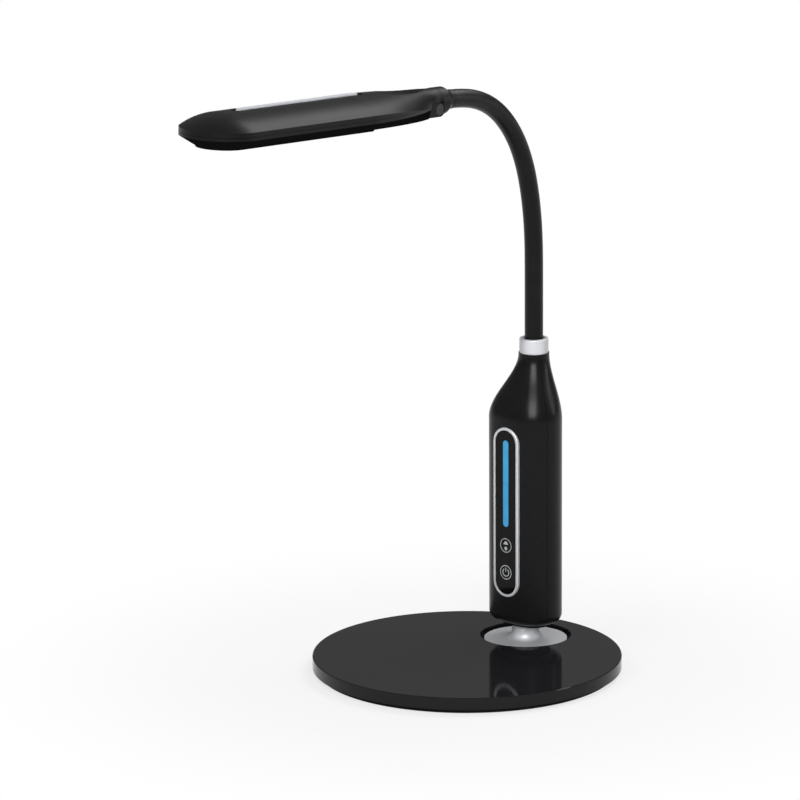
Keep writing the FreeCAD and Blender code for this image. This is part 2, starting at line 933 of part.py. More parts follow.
def touch_panel():
    ring_length = "trim_seat + trim_proud"
    ring = padded(
        "trim_outer",
        "XZ_Plane",
        lozenge("panel_half_width", "panel_half_height"),
        ring_length,
        y="trim_back",
        z="panel_centre",
    )
    chamfer = ring.newObject("PartDesign::Chamfer", "trim_edge_chamfer")
    doc.recompute()
    pad = [f for f in ring.Group if f.Name == "trim_outer_pad"][0]
    front_faces = [
        "Face%d" % (i + 1)
        for i, face in enumerate(pad.Shape.Faces)
        if face.BoundBox.YMax < -num(ring_length) + 0.01
    ]
    chamfer.Base = (pad, front_faces)
    chamfer.setExpression("Size", ex("trim_edge"))
    ring.Tip = chamfer
    hole = padded(
        "trim_hole",
        "XZ_Plane",
        lozenge("panel_half_width - trim_band", "panel_half_height - trim_band"),
        ring_length + " + 2",
        y="trim_back + 1",
        z="panel_centre",
    )
    node("panel_trim_ring", cut("trim_ring_cut", ring, hole))

    lens = padded(
        "lens_pad",
        "XZ_Plane",
        lozenge(
            "panel_half_width - trim_band - panel_clearance",
            "panel_half_height - trim_band - panel_clearance",
        ),
        "lens_thick",
        y="trim_front + lens_sunk + lens_thick",
        z="panel_centre",
    )
    slot = padded(
        "lens_slot",
        "XZ_Plane",
        lozenge("slider_half_width + panel_clearance", "slider_half_height + panel_clearance"),
        "lens_thick + 2",
        y="trim_front + lens_sunk + lens_thick + 1",
        z="slider_centre",
    )
    node("touch_lens", cut("touch_lens_cut", lens, slot))

    board_front = "body_front + touch_board_back"
    slider = padded(
        "slider_pad",
        "XZ_Plane",
        lozenge("slider_half_width", "slider_half_height"),
        board_front + " - (trim_front + slider_sunk)",
        y=board_front,
        z="slider_centre",
    )
    node("slider_light_bar", slider)

    board = block(
        "touch_board_plate",
        ("2 * touch_board_half_width", "board_thick", "2 * touch_board_half_height"),
        "-touch_board_half_width",
        board_front,
        "panel_centre - touch_board_half_height",
    )
    chips = []
    for i, height in enumerate(("panel_centre - touch_chip_low", "panel_centre + touch_chip_high")):
        chips.append(
            block(
                "touch_chip_%d" % i,
                ("touch_chip_side", "touch_chip_thick", "touch_chip_side"),
                "-0.5 * touch_chip_side",
                board_front + " + board_thick",
                height,
            )
        )
    node("touch_board", fuse("touch_board_whole", board, *chips))


# Electronics and inlet inside the body


def inside_body():
    board = block(
        "driver_plate",
        ("2 * driver_board_half_width", "board_thick", "driver_board_high - driver_board_low"),
        "-driver_board_half_width",
        "stem_offset + driver_board_back - board_thick - body_wall",
        "driver_board_low",
    )
    coil = cylinder(
        "driver_coil",
        "driver_coil_radius",
        "driver_coil_height",
        y="stem_offset + driver_board_back - board_thick - body_wall - driver_coil_height",
        z="driver_board_low + driver_part_inset",
        rotation=ALONG_Y,
    )
    can = cylinder(
        "driver_capacitor",
        "driver_coil_radius - 1",
        "driver_coil_height + 2",
        x="driver_part_offset",
        y="stem_offset + driver_board_back - board_thick - body_wall - driver_coil_height - 2",
        z="driver_board_high - driver_part_inset",
        rotation=ALONG_Y,
    )
    node("driver_board", fuse("driver_board_whole", board, coil, can))

    nose_front = "body_rear - jack_sunk"
    housing = block(
        "jack_housing",
        ("2 * jack_half_width", "jack_depth", "2 * jack_half_height"),
        "-jack_half_width",
        "body_rear - body_wall - jack_wall_gap - jack_depth",
        "jack_height - jack_half_height",
    )
    nose = cylinder(
        "jack_nose",
        "jack_nose_radius",
        "body_wall + 2",
        y=nose_front + " - body_wall - 2",
        z="jack_height",
        rotation=ALONG_Y,
    )
    bore = cylinder(
        "jack_bore",
        "jack_bore_radius",
        "jack_bore_depth + 1",
        y=nose_front + " - jack_bore_depth",
        z="jack_height",
        rotation=ALONG_Y,
    )
    pin = cylinder(
        "jack_pin",
        "jack_pin_radius",
        "jack_bore_depth - 1",
        y=nose_front + " - jack_bore_depth - 0.5",
        z="jack_height",
        rotation=ALONG_Y,
    )
    hollow = cut("jack_hollow", fuse("jack_whole", housing, nose), bore)
    node("dc_jack", fuse("dc_jack_whole", hollow, pin))


# Gooseneck: twelve stretches of hose and sleeve that follow one curve


TURNS = (
    "turn_one",
    "turn_two",
    "turn_three",
    "turn_four",
    "turn_five",
    "turn_six",
    "turn_seven",
    "turn_eight",
    "turn_nine",
    "turn_ten",
    "turn_eleven",
    "turn_twelve",
)


def along(spot, lean, length, turn):
    """Where a stretch of the curve ends: its spot in the YZ plane and its lean from upright."""
    if abs(turn) < 0.01:
        ahead = Vector(0, -math.sin(math.radians(lean)), math.cos(math.radians(lean)))
        return spot + ahead * length, lean
    radius = length / math.radians(turn)
    inward = Vector(0, -math.cos(math.radians(lean)), -math.sin(math.radians(lean)))
    centre = spot + inward * radius
    after = lean + turn
    outward = Vector(0, math.cos(math.radians(after)), math.sin(math.radians(after)))
    return centre + outward * radius, after


def curve():
    """The spot and lean at the start of each stretch, and at the curve's end."""
    spot = Vector(0, num("neck_offset"), num("neck_start"))
    lean = 0.0
    stations = [(spot, lean)]
    for turn in TURNS:
        spot, lean = along(spot, lean, num("stretch_length"), num(turn))
        stations.append((spot, lean))
    return stations


def frame_at(spot, lean):
    """A placement whose Z runs along the curve and whose X is across it."""
    c, s = math.cos(math.radians(lean)), math.sin(math.radians(lean))
    m = Matrix(1, 0, 0, spot.x, 0, c, -s, spot.y, 0, s, c, spot.z, 0, 0, 0, 1)
    return Placement(m)


def bend_frame(spot, lean, radius):
    """The placement of a ring whose arc leaves spot along the curve."""
    c, s = math.cos(math.radians(lean)), math.sin(math.radians(lean))
    centre = spot + Vector(0, -c, -s) * radius
    m = Matrix(0, 0, 1, centre.x, c, -s, 0, centre.y, s, c, 0, centre.z, 0, 0, 0, 1)
    return Placement(m)


def rod(name, radius, spot, lean, length, turn):
    """A round rod along a stretch of the curve."""
    if abs(turn) < 0.01:
        obj = doc.addObject("Part::Cylinder", name)
        obj.setExpression("Radius", ex(radius))
        obj.Height = length
        obj.Placement = frame_at(spot, lean)
        return obj
    obj = doc.addObject("Part::Torus", name)
    bend = length / math.radians(turn)
    obj.Radius1 = bend
    obj.setExpression("Radius2", ex(radius))
    obj.Angle3 = turn
    obj.Placement = bend_frame(spot, lean, bend)
    return obj


def gooseneck():
    stations = curve()
    length = num("stretch_length")
    rim = num("hose_rim")
    ball_side = num("hose_radius + 1")
    for i, turn_name in enumerate(TURNS):
        spot, lean = stations[i]
        end, end_lean = stations[i + 1]
        turn = num(turn_name)
        tag = "%02d" % (i + 1)
        first, last = i == 0, i == len(TURNS) - 1

        outer = rod("sleeve_outer_" + tag, "sleeve_radius", spot, lean, length, turn)
        inner = rod("sleeve_inner_" + tag, "sleeve_radius - sleeve_wall", spot, lean, length, turn)
        pieces, rooms = [outer], [inner]
        if first:
            depth = num("root_sleeve_depth")
            below = spot - Vector(0, 0, depth)
            pieces.append(rod("sleeve_root", "sleeve_radius", below, 0, depth, 0))
            rooms.append(rod("sleeve_root_room", "sleeve_radius - sleeve_wall", below, 0, depth, 0))
        whole = fuse("sleeve_whole_" + tag, *pieces) if first else outer
        node("gooseneck_sleeve_" + tag, cut("sleeve_cut_" + tag, whole, *rooms))

        if first:
            hose_spot, hose_lean, hose_length, hose_turn = spot, lean, length, turn
        else:
            hose_spot, hose_lean = along(spot, lean, rim, turn * rim / length)
            hose_length, hose_turn = length - rim, turn * (1 - rim / length)
        pieces = [rod("hose_outer_" + tag, "hose_radius", hose_spot, hose_lean, hose_length, hose_turn)]
        rooms = [
            rod("hose_room_" + tag, "hose_bore_radius", hose_spot, hose_lean, hose_length, hose_turn)
        ]
        if first:
            depth = num("root_depth")
            below = spot - Vector(0, 0, depth)
            pieces.append(rod("hose_root", "hose_radius", below, 0, depth, 0))
            rooms.append(rod("hose_root_room", "hose_bore_radius", below, 0, depth, 0))
        if last:
            depth = num("knuckle_socket")
            pieces.append(rod("hose_tip", "hose_radius", end, end_lean, depth, 0))
            rooms.append(rod("hose_tip_room", "hose_bore_radius", end, end_lean, depth, 0))
        else:
            ball = doc.addObject("Part::Sphere", "hose_ball_" + tag)
            ball.setExpression("Radius", ex("hose_radius"))
            ball.Placement = frame_at(end, end_lean)
            pieces.append(ball)
            rooms.append(rod("ball_room_" + tag, "hose_bore_radius", end, end_lean, ball_side, 0))
        whole = fuse("hose_whole_" + tag, *pieces)
        node("gooseneck_hose_" + tag, cut("hose_cut_" + tag, whole, *rooms))

    collar_bore = "sleeve_radius + sleeve_clearance"
    collar = turned(
        "collar_turned",
        [
            (collar_bore, "neck_top"),
            ("collar_radius", "neck_top"),
            ("collar_radius", "collar_top - collar_edge", "collar_radius - collar_edge",
             "collar_top - collar_edge", "ccw"),
            ("collar_radius - collar_edge", "collar_top"),
            ("collar_recess_radius", "collar_top"),
            ("collar_recess_radius", "collar_top - collar_recess_depth"),
            (collar_bore, "collar_top - collar_recess_depth"),
        ],
        y="neck_offset",
    )
    node("neck_collar", collar)

    ferrule = turned(
        "ferrule_turned",
        [
            ("hose_radius + sleeve_clearance", "ferrule_low"),
            ("ferrule_radius", "ferrule_low"),
            ("ferrule_radius", "neck_top"),
            (collar_bore, "neck_top"),
            (collar_bore, "neck_start - root_sleeve_depth"),
            ("hose_radius + sleeve_clearance", "neck_start - root_sleeve_depth"),
        ],
        y="neck_offset",
    )
    nut_low = "ferrule_low - ferrule_nut_thick"
    nut = cut(
        "ferrule_nut_cut",
        hexagon("ferrule_nut_hex", "ferrule_nut_radius", "ferrule_nut_thick", y="neck_offset", z=nut_low),
        cylinder(
            "ferrule_nut_bore",
            "hose_radius + sleeve_clearance",
            "ferrule_nut_thick",
            y="neck_offset",
            z=nut_low,
        ),
    )
    node("neck_ferrule", fuse("neck_ferrule_whole", ferrule, nut))
    return stations[-1]


# Head frame: origin on the tilt pivot, local -Y runs to the head's tip, local Z is up through its top


def head_frame(neck_end):
    spot, lean = neck_end
    tilt = 90 - lean
    c, s = math.cos(math.radians(tilt)), math.sin(math.radians(tilt))
    ahead, up = Vector(0, -c, s), Vector(0, s, c)
    pivot = spot + ahead * num("pivot_forward") - up * num("pivot_drop")
    return Placement(pivot, Rotation(Vector(1, 0, 0), -tilt))


def seated(name, obj, frame):
    """Moves a finished piece from the head's frame to its place on the lamp."""
    if obj.ExpressionEngine:
        obj = together(name + "_seat", [obj])
    obj.Placement = frame.multiply(obj.Placement)
    return node(name, obj)


def side_plate(name, half_width, points):
    """A plate across the head; its outline is in (Y, Z) of the head's frame."""
    return padded(name, "YZ_Plane", points, "2 * (%s)" % half_width, x="-(%s)" % half_width)


def across(name, radius, half_width, y="0", z="0"):
    """A round bar across the head."""
    return cylinder(
        name, radius, "2 * (%s)" % half_width, "-(%s)" % half_width, y, z, rotation=ALONG_X
    )


# Knuckle on the gooseneck's end, with the tongue that the head's yoke turns on


def knuckle(frame):
    boss = turned(
        "knuckle_turned",
        [
            ("0", "0"),
            ("knuckle_mouth_radius", "0"),
            ("knuckle_mouth_radius", "knuckle_lip"),
            ("knuckle_radius", "knuckle_flare"),
            ("knuckle_radius", "pivot_forward - knuckle_face"),
            ("0", "pivot_forward - knuckle_face"),
        ],
        y="pivot_forward",
        z="pivot_drop",
        rotation=Rotation(Vector(1, 0, 0), 90),
    )
    socket = cylinder(
        "knuckle_socket_room",
        "hose_radius + 0.05",
        "knuckle_socket + 0.2",
        y="pivot_forward - knuckle_socket - 0.2",
        z="pivot_drop",
        rotation=ALONG_Y,
    )
    wide = "knuckle_radius + 2"
    swing = across("knuckle_swing_room", "cheek_end_radius + hinge_gap + cheek_clearance", wide)
    relief = side_plate(
        "knuckle_relief",
        wide,
        [
            ("0", "0"),
            ("0", "-30"),
            ("30", "-30"),
            ("30 * cos(relief_lean * 1 deg)", "-30 * sin(relief_lean * 1 deg)"),
        ],
    )
    tongue_end = across("tongue_end", "tongue_end_radius", "tongue_half_width")
    tongue_root = block(
        "tongue_root",
        ("2 * tongue_half_width", "knuckle_face + 5", "2 * tongue_end_radius - tongue_low_cut"),
        "-tongue_half_width",
        "0",
        "tongue_low_cut - tongue_end_radius",
    )
    hole = across("tongue_hole", "pivot_radius + pivot_clearance", "tongue_half_width + 1")
    body = cut("knuckle_boss", boss, swing, relief)
    whole = fuse("knuckle_whole", body, tongue_end, tongue_root)
    seated("neck_knuckle", cut("knuckle_cut", whole, socket, hole), frame)


# Tilt hinge: yoke in the head's rear, friction washers, shoulder screw and its nut


def hinge(frame):
    inside = "tongue_half_width + friction_washer_thick + tongue_clearance"
    ends = across("cheek_ends", "cheek_end_radius", "cheek_half_width")
    arms = block(
        "cheek_arms",
        ("2 * cheek_half_width", "yoke_back + yoke_web", "2 * cheek_end_radius"),
        "-cheek_half_width",
        "-(yoke_back + yoke_web)",
        "-cheek_end_radius",
    )
    plate = block(
        "yoke_plate",
        ("2 * yoke_plate_half_width", "yoke_reach - yoke_back", "yoke_plate_thick"),
        "-yoke_plate_half_width",
        "-yoke_reach",
        "head_top_split + head_wall",
    )
    riser = block(
        "yoke_riser",
        ("2 * yoke_plate_half_width", "yoke_web", "head_top_split + head_wall + yoke_plate_thick"),
        "-yoke_plate_half_width",
        "-(yoke_back + yoke_web)",
    )
    slot_end = across("yoke_slot_end", "yoke_back", inside)
    slot = block(
        "yoke_slot",
        ("2 * (%s)" % inside, "3 * yoke_back", "4 * yoke_back"),
        "-(%s)" % inside,
        "0",
        "-2 * yoke_back",
    )
    slot_top = block(
        "yoke_slot_top",
        ("2 * (%s)" % inside, "2 * yoke_back", "2 * yoke_back"),
        "-(%s)" % inside,
        "-yoke_back",
        "0",
    )
    hole = across("yoke_hole", "pivot_radius", "cheek_half_width + 1")
    plate_low = "head_top_split + head_wall"
    spots = ("-head_screw_first", "-head_screw_second")
    screw_holes = [
        cylinder("yoke_screw_hole_%d" % i, "head_screw_radius", "yoke_plate_thick", y=y, z=plate_low)
        for i, y in enumerate(spots)
    ]
    caps = [
        cylinder(
            "yoke_cap_room_left",
            "pivot_cap_radius + 0.1",
            "pivot_cap_thick + 1",
            "cheek_half_width - pivot_cap_thick",
            rotation=ALONG_X,
        ),
        cylinder(
            "yoke_cap_room_right",
            "pivot_cap_radius + 0.1",
            "pivot_cap_thick + 1",
            "-cheek_half_width - 1",
            rotation=ALONG_X,
        ),
    ]
    whole = fuse("yoke_whole", ends, arms, plate, riser)
    rooms = [slot_end, slot, slot_top, hole]
    seated("hinge_yoke", cut("yoke_cut", whole, *rooms, *caps, *screw_holes), frame)
    screws = []
    for i, y in enumerate(spots):
        shank = cylinder(
            "head_screw_shank_%d" % i, "head_screw_radius", "yoke_plate_thick + head_screw_grip", y=y, z=plate_low
        )
        head = cylinder(
            "head_screw_head_%d" % i,
            "head_screw_head_radius",
            "head_screw_head_thick",
            y=y,
            z="head_top_split + head_wall - head_screw_head_thick",
        )
        screws.append(fuse("head_screw_%d" % i, shank, head))
    seated("head_screws", together("head_screws_pair", screws), frame)

    washers = []
    starts = {"left": "tongue_half_width", "right": "-tongue_half_width - friction_washer_thick"}
    for side, start in starts.items():
        washers.append(
            cut(
                "friction_washer_" + side,
                cylinder(
                    "friction_disc_" + side,
                    "friction_washer_radius",
                    "friction_washer_thick",
                    start,
                    rotation=ALONG_X,
                ),
                cylinder(
                    "friction_hole_" + side,
                    "pivot_radius + pivot_clearance",
                    "friction_washer_thick",
                    start,
                    rotation=ALONG_X,
                ),
            )
        )
    seated("friction_washers", together("friction_washers_pair", washers), frame)

    shaft = across("pivot_shaft", "pivot_radius", "cheek_half_width - pivot_cap_thick")
    head = cylinder(
        "pivot_head",
        "pivot_cap_radius",
        "pivot_cap_thick - 0.2",
        "cheek_half_width - pivot_cap_thick",
        rotation=ALONG_X,
    )
    seated("pivot_screw", fuse("pivot_screw_whole", shaft, head), frame)
    nut = cylinder(
        "pivot_nut_disc",
        "pivot_cap_radius",
        "pivot_cap_thick - 0.2",
        "-cheek_half_width + 0.2",
        rotation=ALONG_X,
    )
    seated("pivot_nut", nut, frame)


# Head: crowned top shell, frame band and bottom shell, all cut from one form


def half_outline(wide, floor, edge, crown, chine):
    """The right-hand corners of the head's section, from the floor's middle to the wall's top."""
    return [
        Vector(0, 0, floor),
        Vector(wide - chine, 0, floor),
        Vector(wide, 0, num("head_frame_split")),
        Vector(wide, 0, edge),
    ]


def head_section(reach, wide, floor, edge, crown, chine):
    """One whole cross-section of the head, at a distance ahead of the pivot."""
    right = half_outline(wide, floor, edge, crown, chine)[1:]
    left = [Vector(-p.x, 0, p.z) for p in reversed(right)]
    corners = left + right
    edges = [Part.makeLine(corners[i], corners[i + 1]) for i in range(5)]
    edges.append(Part.Arc(corners[5], Vector(0, 0, crown), corners[0]).toShape())
    wire = Part.Wire(edges)
    wire.translate(Vector(0, -reach, 0))
    return wire


def tail_section(reach, inset, floor, at=None):
    """The section where the tail narrows to the hinge; inset draws it in evenly."""
    full = (num("tail_end") - max(reach, num("tail_start"))) / (num("tail_end") - num("tail_start"))
    ease = full**2
    wide = num("head_half_width")
    narrow = ease * (wide - num("tail_half_width"))
    here = wide - narrow
    chine = num("chine_inset") * (here / wide) ** 2
    return head_section(
        reach if at is None else at,
        here - inset,
        floor,
        num("head_edge_height") - inset * 0.4 - ease * num("tail_edge_drop"),
        num("head_crown_height") - inset - ease * num("tail_crown_drop"),
        chine,
    )


def head_form(inset, floor):
    """The head's form drawn in by inset, from floor up."""
    wide = num("head_half_width") - inset
    edge = num("head_edge_height") - inset * 0.4
    crown = num("head_crown_height") - inset
    nose, start = num("head_nose_centre"), num("tail_end")
    rear_end = inset - num("head_rear")
    first = num("tail_start")
    reaches = [first + (start - first) * i / 6 for i in range(7)]
    tail = [tail_section(first, inset, floor, rear_end)]
    tail += [tail_section(reach, inset, floor) for reach in reaches]
    rear = Part.makeLoft(tail, True, False)
    section = Part.Face(head_section(start, wide, floor, edge, crown, num("chine_inset")))
    middle = section.extrude(Vector(0, start - nose, 0))
    corners = half_outline(wide, floor, edge, crown, num("chine_inset"))
    edges = [Part.makeLine(corners[i], corners[i + 1]) for i in range(3)]
    edges.append(crown_arc(wide, edge, crown))
    edges.append(Part.makeLine(Vector(0, 0, crown), corners[0]))
    dome = Part.Face(Part.Wire(edges)).revolve(Vector(), Vector(0, 0, 1), -180)
    dome.translate(Vector(0, -nose, 0))
    return rear.fuse([middle, dome]).removeSplitter()


def crown_arc(wide, edge, crown):
    rise = crown - edge
    radius = (wide**2 + rise**2) / (2 * rise)
    centre = crown - radius
    lean = math.asin(wide / radius) / 2
    middle = Vector(radius * math.sin(lean), 0, centre + radius * math.cos(lean))
    return Part.Arc(Vector(wide, 0, edge), middle, Vector(0, 0, crown)).toShape()


def head_slab(name, low, high):
    """A flat slab as wide as the head's plan, between two heights."""
    wide = num("head_half_width") + 5
    nose = num("head_nose_centre")
    corner = Vector(-wide, -nose - wide, low)
    return feature(name, Part.makeBox(2 * wide, nose + 2 * wide, high - low, corner))


def plan_form(inset, rear, low, high):
    """The light field's plan: straight sides with a round front and a round-cornered rear."""
    wide = num("head_half_width") - inset
    nose = num("head_nose_centre")
    start = -rear
    corner = wide * 0.45
    spots = {
        "rear_left": Vector(-wide + corner, start, low),
        "rear_right": Vector(wide - corner, start, low),
    }
    cut_in = corner * (1 - math.sqrt(0.5))
    wire = Part.Wire(
        [
            Part.makeLine(spots["rear_left"], spots["rear_right"]),
            Part.Arc(
                spots["rear_right"],
                Vector(wide - cut_in, start - cut_in, low),
                Vector(wide, start - corner, low),
            ).toShape(),
            Part.makeLine(Vector(wide, start - corner, low), Vector(wide, -nose, low)),
            Part.Arc(
                Vector(wide, -nose, low), Vector(0, -nose - wide, low), Vector(-wide, -nose, low)
            ).toShape(),
            Part.makeLine(Vector(-wide, -nose, low), Vector(-wide, start - corner, low)),
            Part.Arc(
                Vector(-wide, start - corner, low),
                Vector(-wide + cut_in, start - cut_in, low),
                spots["rear_left"],
            ).toShape(),
        ]
    )
    return Part.Face(wire).extrude(Vector(0, 0, high - low))


def head(frame):
    wall = num("head_wall")
    floor = -num("head_floor")
    seam = num("head_seam_gap") / 2
    top_split, frame_split = num("head_top_split"), num("head_frame_split")
    crown = num("head_crown_height")

    outer = feature("head_outer", head_form(0, floor))
    inner = feature("head_inner", head_form(wall, floor - 1))
    hollow = cut("head_hollow", outer, inner)
    rear_room = block(
        "head_rear_room",
        (
            "2 * (cheek_half_width + cheek_room)",
            "yoke_back + yoke_web + hinge_gap + 20",
            "head_floor + 1 + cheek_end_radius + cheek_clearance",
        ),
        "-cheek_half_width - cheek_room",
        "-(yoke_back + yoke_web + hinge_gap)",
        "-(head_floor + 1)",
    )

    slot_long = "bar_front - bar_rear + 2 * bar_slot_extra"
    bar_mid = "-(bar_front + bar_rear) / 2"
    slot = padded(
        "bar_slot",
        "XY_Plane",
        lozenge("bar_half_width + bar_slot_side", "0.5 * (%s)" % slot_long),
        "bar_sunk + 3",
        y=bar_mid,
        z="head_crown_height - bar_sunk",
    )
    scoop_half = "0.5 * (scoop_front - scoop_rear)"
    scoop_radius = "((%s)^2 + scoop_depth^2) / (2 * scoop_depth)" % scoop_half
    scoop_swing = "(%s - scoop_depth)" % scoop_radius
    scoop = across(
        "scoop_tool",
        scoop_radius,
        "head_half_width",
        y="-0.5 * (scoop_front + scoop_rear) + %s * sin(scoop_lean * 1 deg)" % scoop_swing,
        z="head_crown_height - scoop_drop + %s * cos(scoop_lean * 1 deg)" % scoop_swing,
    )
    top = common("head_top_part", hollow, head_slab("top_slab", top_split + seam, crown + 5))
    plate_top = "head_top_split + head_wall + yoke_plate_thick"
    spots = ("-head_screw_first", "-head_screw_second")
    bosses = [
        cylinder(
            "head_boss_%d" % i,
            "head_boss_radius",
            "head_crown_height - tail_crown_drop - head_boss_gap - (%s)" % plate_top,
            y=y,
            z=plate_top,
        )
        for i, y in enumerate(spots)
    ]
    drills = [
        cylinder("head_drill_%d" % i, "head_screw_radius", "head_screw_grip", y=y, z=plate_top)
        for i, y in enumerate(spots)
    ]
    crowned = cut("head_crowned", top, slot, scoop, rear_room)
    bossed = fuse("head_bossed", crowned, *bosses)
    seated("head_top_shell", cut("head_top_cut", bossed, *drills), frame)

    band_outer = common(
        "band_outer", outer, head_slab("band_slab", frame_split + seam, top_split - seam)
    )
    band_inner = feature("band_inner", head_form(num("frame_band"), floor - 1))
    seated("head_frame_band", cut("head_band_cut", band_outer, band_inner, rear_room), frame)

    low_outer = common("low_outer", outer, head_slab("low_slab", floor, frame_split - seam))
    low_inner = feature("low_inner", head_form(wall, floor + wall))
    window_inset, window_rear = num("bezel_inset + bezel_band"), num("bezel_rear + bezel_rear_band")
    window = feature("low_window", plan_form(window_inset, window_rear, floor - 1, floor + wall + 1))
    seated("head_bottom_shell", cut("head_low_cut", low_outer, low_inner, window, rear_room), frame)

    bezel_low = floor - num("bezel_thick")
    bezel_outer = feature("bezel_outer", plan_form(num("bezel_inset"), num("bezel_rear"), bezel_low, floor))
    bezel_hole = feature(
        "bezel_hole",
        plan_form(window_inset, window_rear, bezel_low - 1, floor + 1),
    )
    seated("diffuser_bezel", cut("bezel_cut", bezel_outer, bezel_hole), frame)

    diffuser_low = bezel_low - num("diffuser_proud")
    clear = num("diffuser_clearance")
    diffuser = feature(
        "diffuser_pane",
        plan_form(
            window_inset + clear,
            window_rear + clear,
            diffuser_low,
            diffuser_low + num("diffuser_thick"),
        ),
    )
    seated("diffuser", diffuser, frame)

    board_low = frame_split - num("light_board_thick")
    board = feature(
        "light_board_plate",
        plan_form(
            num("light_board_inset"), num("bezel_rear + light_board_rear"), board_low, frame_split
        ),
    )
    seated("light_board", board, frame)
    chips = []
    rows = (-num("chip_row_gap") / 2, num("chip_row_gap") / 2)
    side, pitch = num("chip_side"), num("chip_pitch")
    reach = num("bezel_rear + chip_start")
    count = int((num("head_nose_centre") - reach) / pitch) + 1
    for i in range(count):
        for x in rows:
            corner = Vector(x - side / 2, -(reach + i * pitch) - side / 2, board_low - num("chip_thick"))
            chips.append(
                feature("light_chip_%d_%d" % (i, x > 0), Part.makeBox(side, side, num("chip_thick"), corner))
            )
    seated("light_chips", together("light_chips_group", chips), frame)

    bar = padded(
        "bar_pad",
        "XY_Plane",
        lozenge("bar_half_width", "0.5 * (bar_front - bar_rear)"),
        "bar_sunk + bar_proud",
        y=bar_mid,
        z="head_crown_height - bar_sunk",
    )
    seated("head_trim_bar", bar, frame)


round_base()
turntable()
upright_body()
touch_panel()
inside_body()
end_station = gooseneck()
doc.recompute()
hinge_frame = head_frame(end_station)
knuckle(hinge_frame)
hinge(hinge_frame)
head(hinge_frame)
doc.recompute()

# Checks, then one file for each sub-part
for obj in doc.Objects:
    if "Invalid" in obj.State or "Error" in obj.State:
        raise RuntimeError("failed object: %s %s" % (obj.Name, obj.State))
os.makedirs("parts", exist_ok=True)
for name, obj in NODES.items():
    shape = obj.Shape
    if shape.isNull() or not shape.isValid() or shape.Volume <= 0:
        raise RuntimeError("bad shape: " + name)
for name, obj in NODES.items():
    obj.Shape.exportStep("parts/%s.step" % name)
print(len(NODES), "sub-parts written")
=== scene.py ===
import json
import math

import bmesh
import bpy
from mathutils import Matrix, Vector


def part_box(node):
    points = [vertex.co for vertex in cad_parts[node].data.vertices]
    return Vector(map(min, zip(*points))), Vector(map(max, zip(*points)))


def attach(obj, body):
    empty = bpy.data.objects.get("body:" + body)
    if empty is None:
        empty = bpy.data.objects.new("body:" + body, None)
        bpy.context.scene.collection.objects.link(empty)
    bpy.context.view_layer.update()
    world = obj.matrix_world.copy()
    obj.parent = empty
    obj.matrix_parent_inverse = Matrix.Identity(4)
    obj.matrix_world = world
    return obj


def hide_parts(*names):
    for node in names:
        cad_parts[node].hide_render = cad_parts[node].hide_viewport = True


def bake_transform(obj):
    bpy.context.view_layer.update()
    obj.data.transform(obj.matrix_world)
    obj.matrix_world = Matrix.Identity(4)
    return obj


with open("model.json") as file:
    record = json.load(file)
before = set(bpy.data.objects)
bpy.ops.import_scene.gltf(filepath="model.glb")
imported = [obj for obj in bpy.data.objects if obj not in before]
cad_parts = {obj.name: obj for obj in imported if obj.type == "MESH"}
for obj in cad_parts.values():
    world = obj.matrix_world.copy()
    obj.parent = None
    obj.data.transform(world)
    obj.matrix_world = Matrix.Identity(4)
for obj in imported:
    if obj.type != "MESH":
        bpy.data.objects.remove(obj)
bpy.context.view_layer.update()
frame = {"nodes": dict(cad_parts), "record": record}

nodes = frame["nodes"]


# Shader maths: a socket that can be added, multiplied and so on, as plain numbers are
class Signal:
    def __init__(self, finish, socket):
        self.finish = finish
        self.socket = socket

    def maths(self, operation, first, second):
        return self.finish.node("ShaderNodeMath", {"operation": operation}, {0: first, 1: second})

    def __add__(self, other):
        return self.maths("ADD", self, other)

    def __radd__(self, other):
        return self.maths("ADD", other, self)

    def __sub__(self, other):
        return self.maths("SUBTRACT", self, other)

    def __rsub__(self, other):
        return self.maths("SUBTRACT", other, self)

    def __mul__(self, other):
        return self.maths("MULTIPLY", self, other)

    def __rmul__(self, other):
        return self.maths("MULTIPLY", other, self)


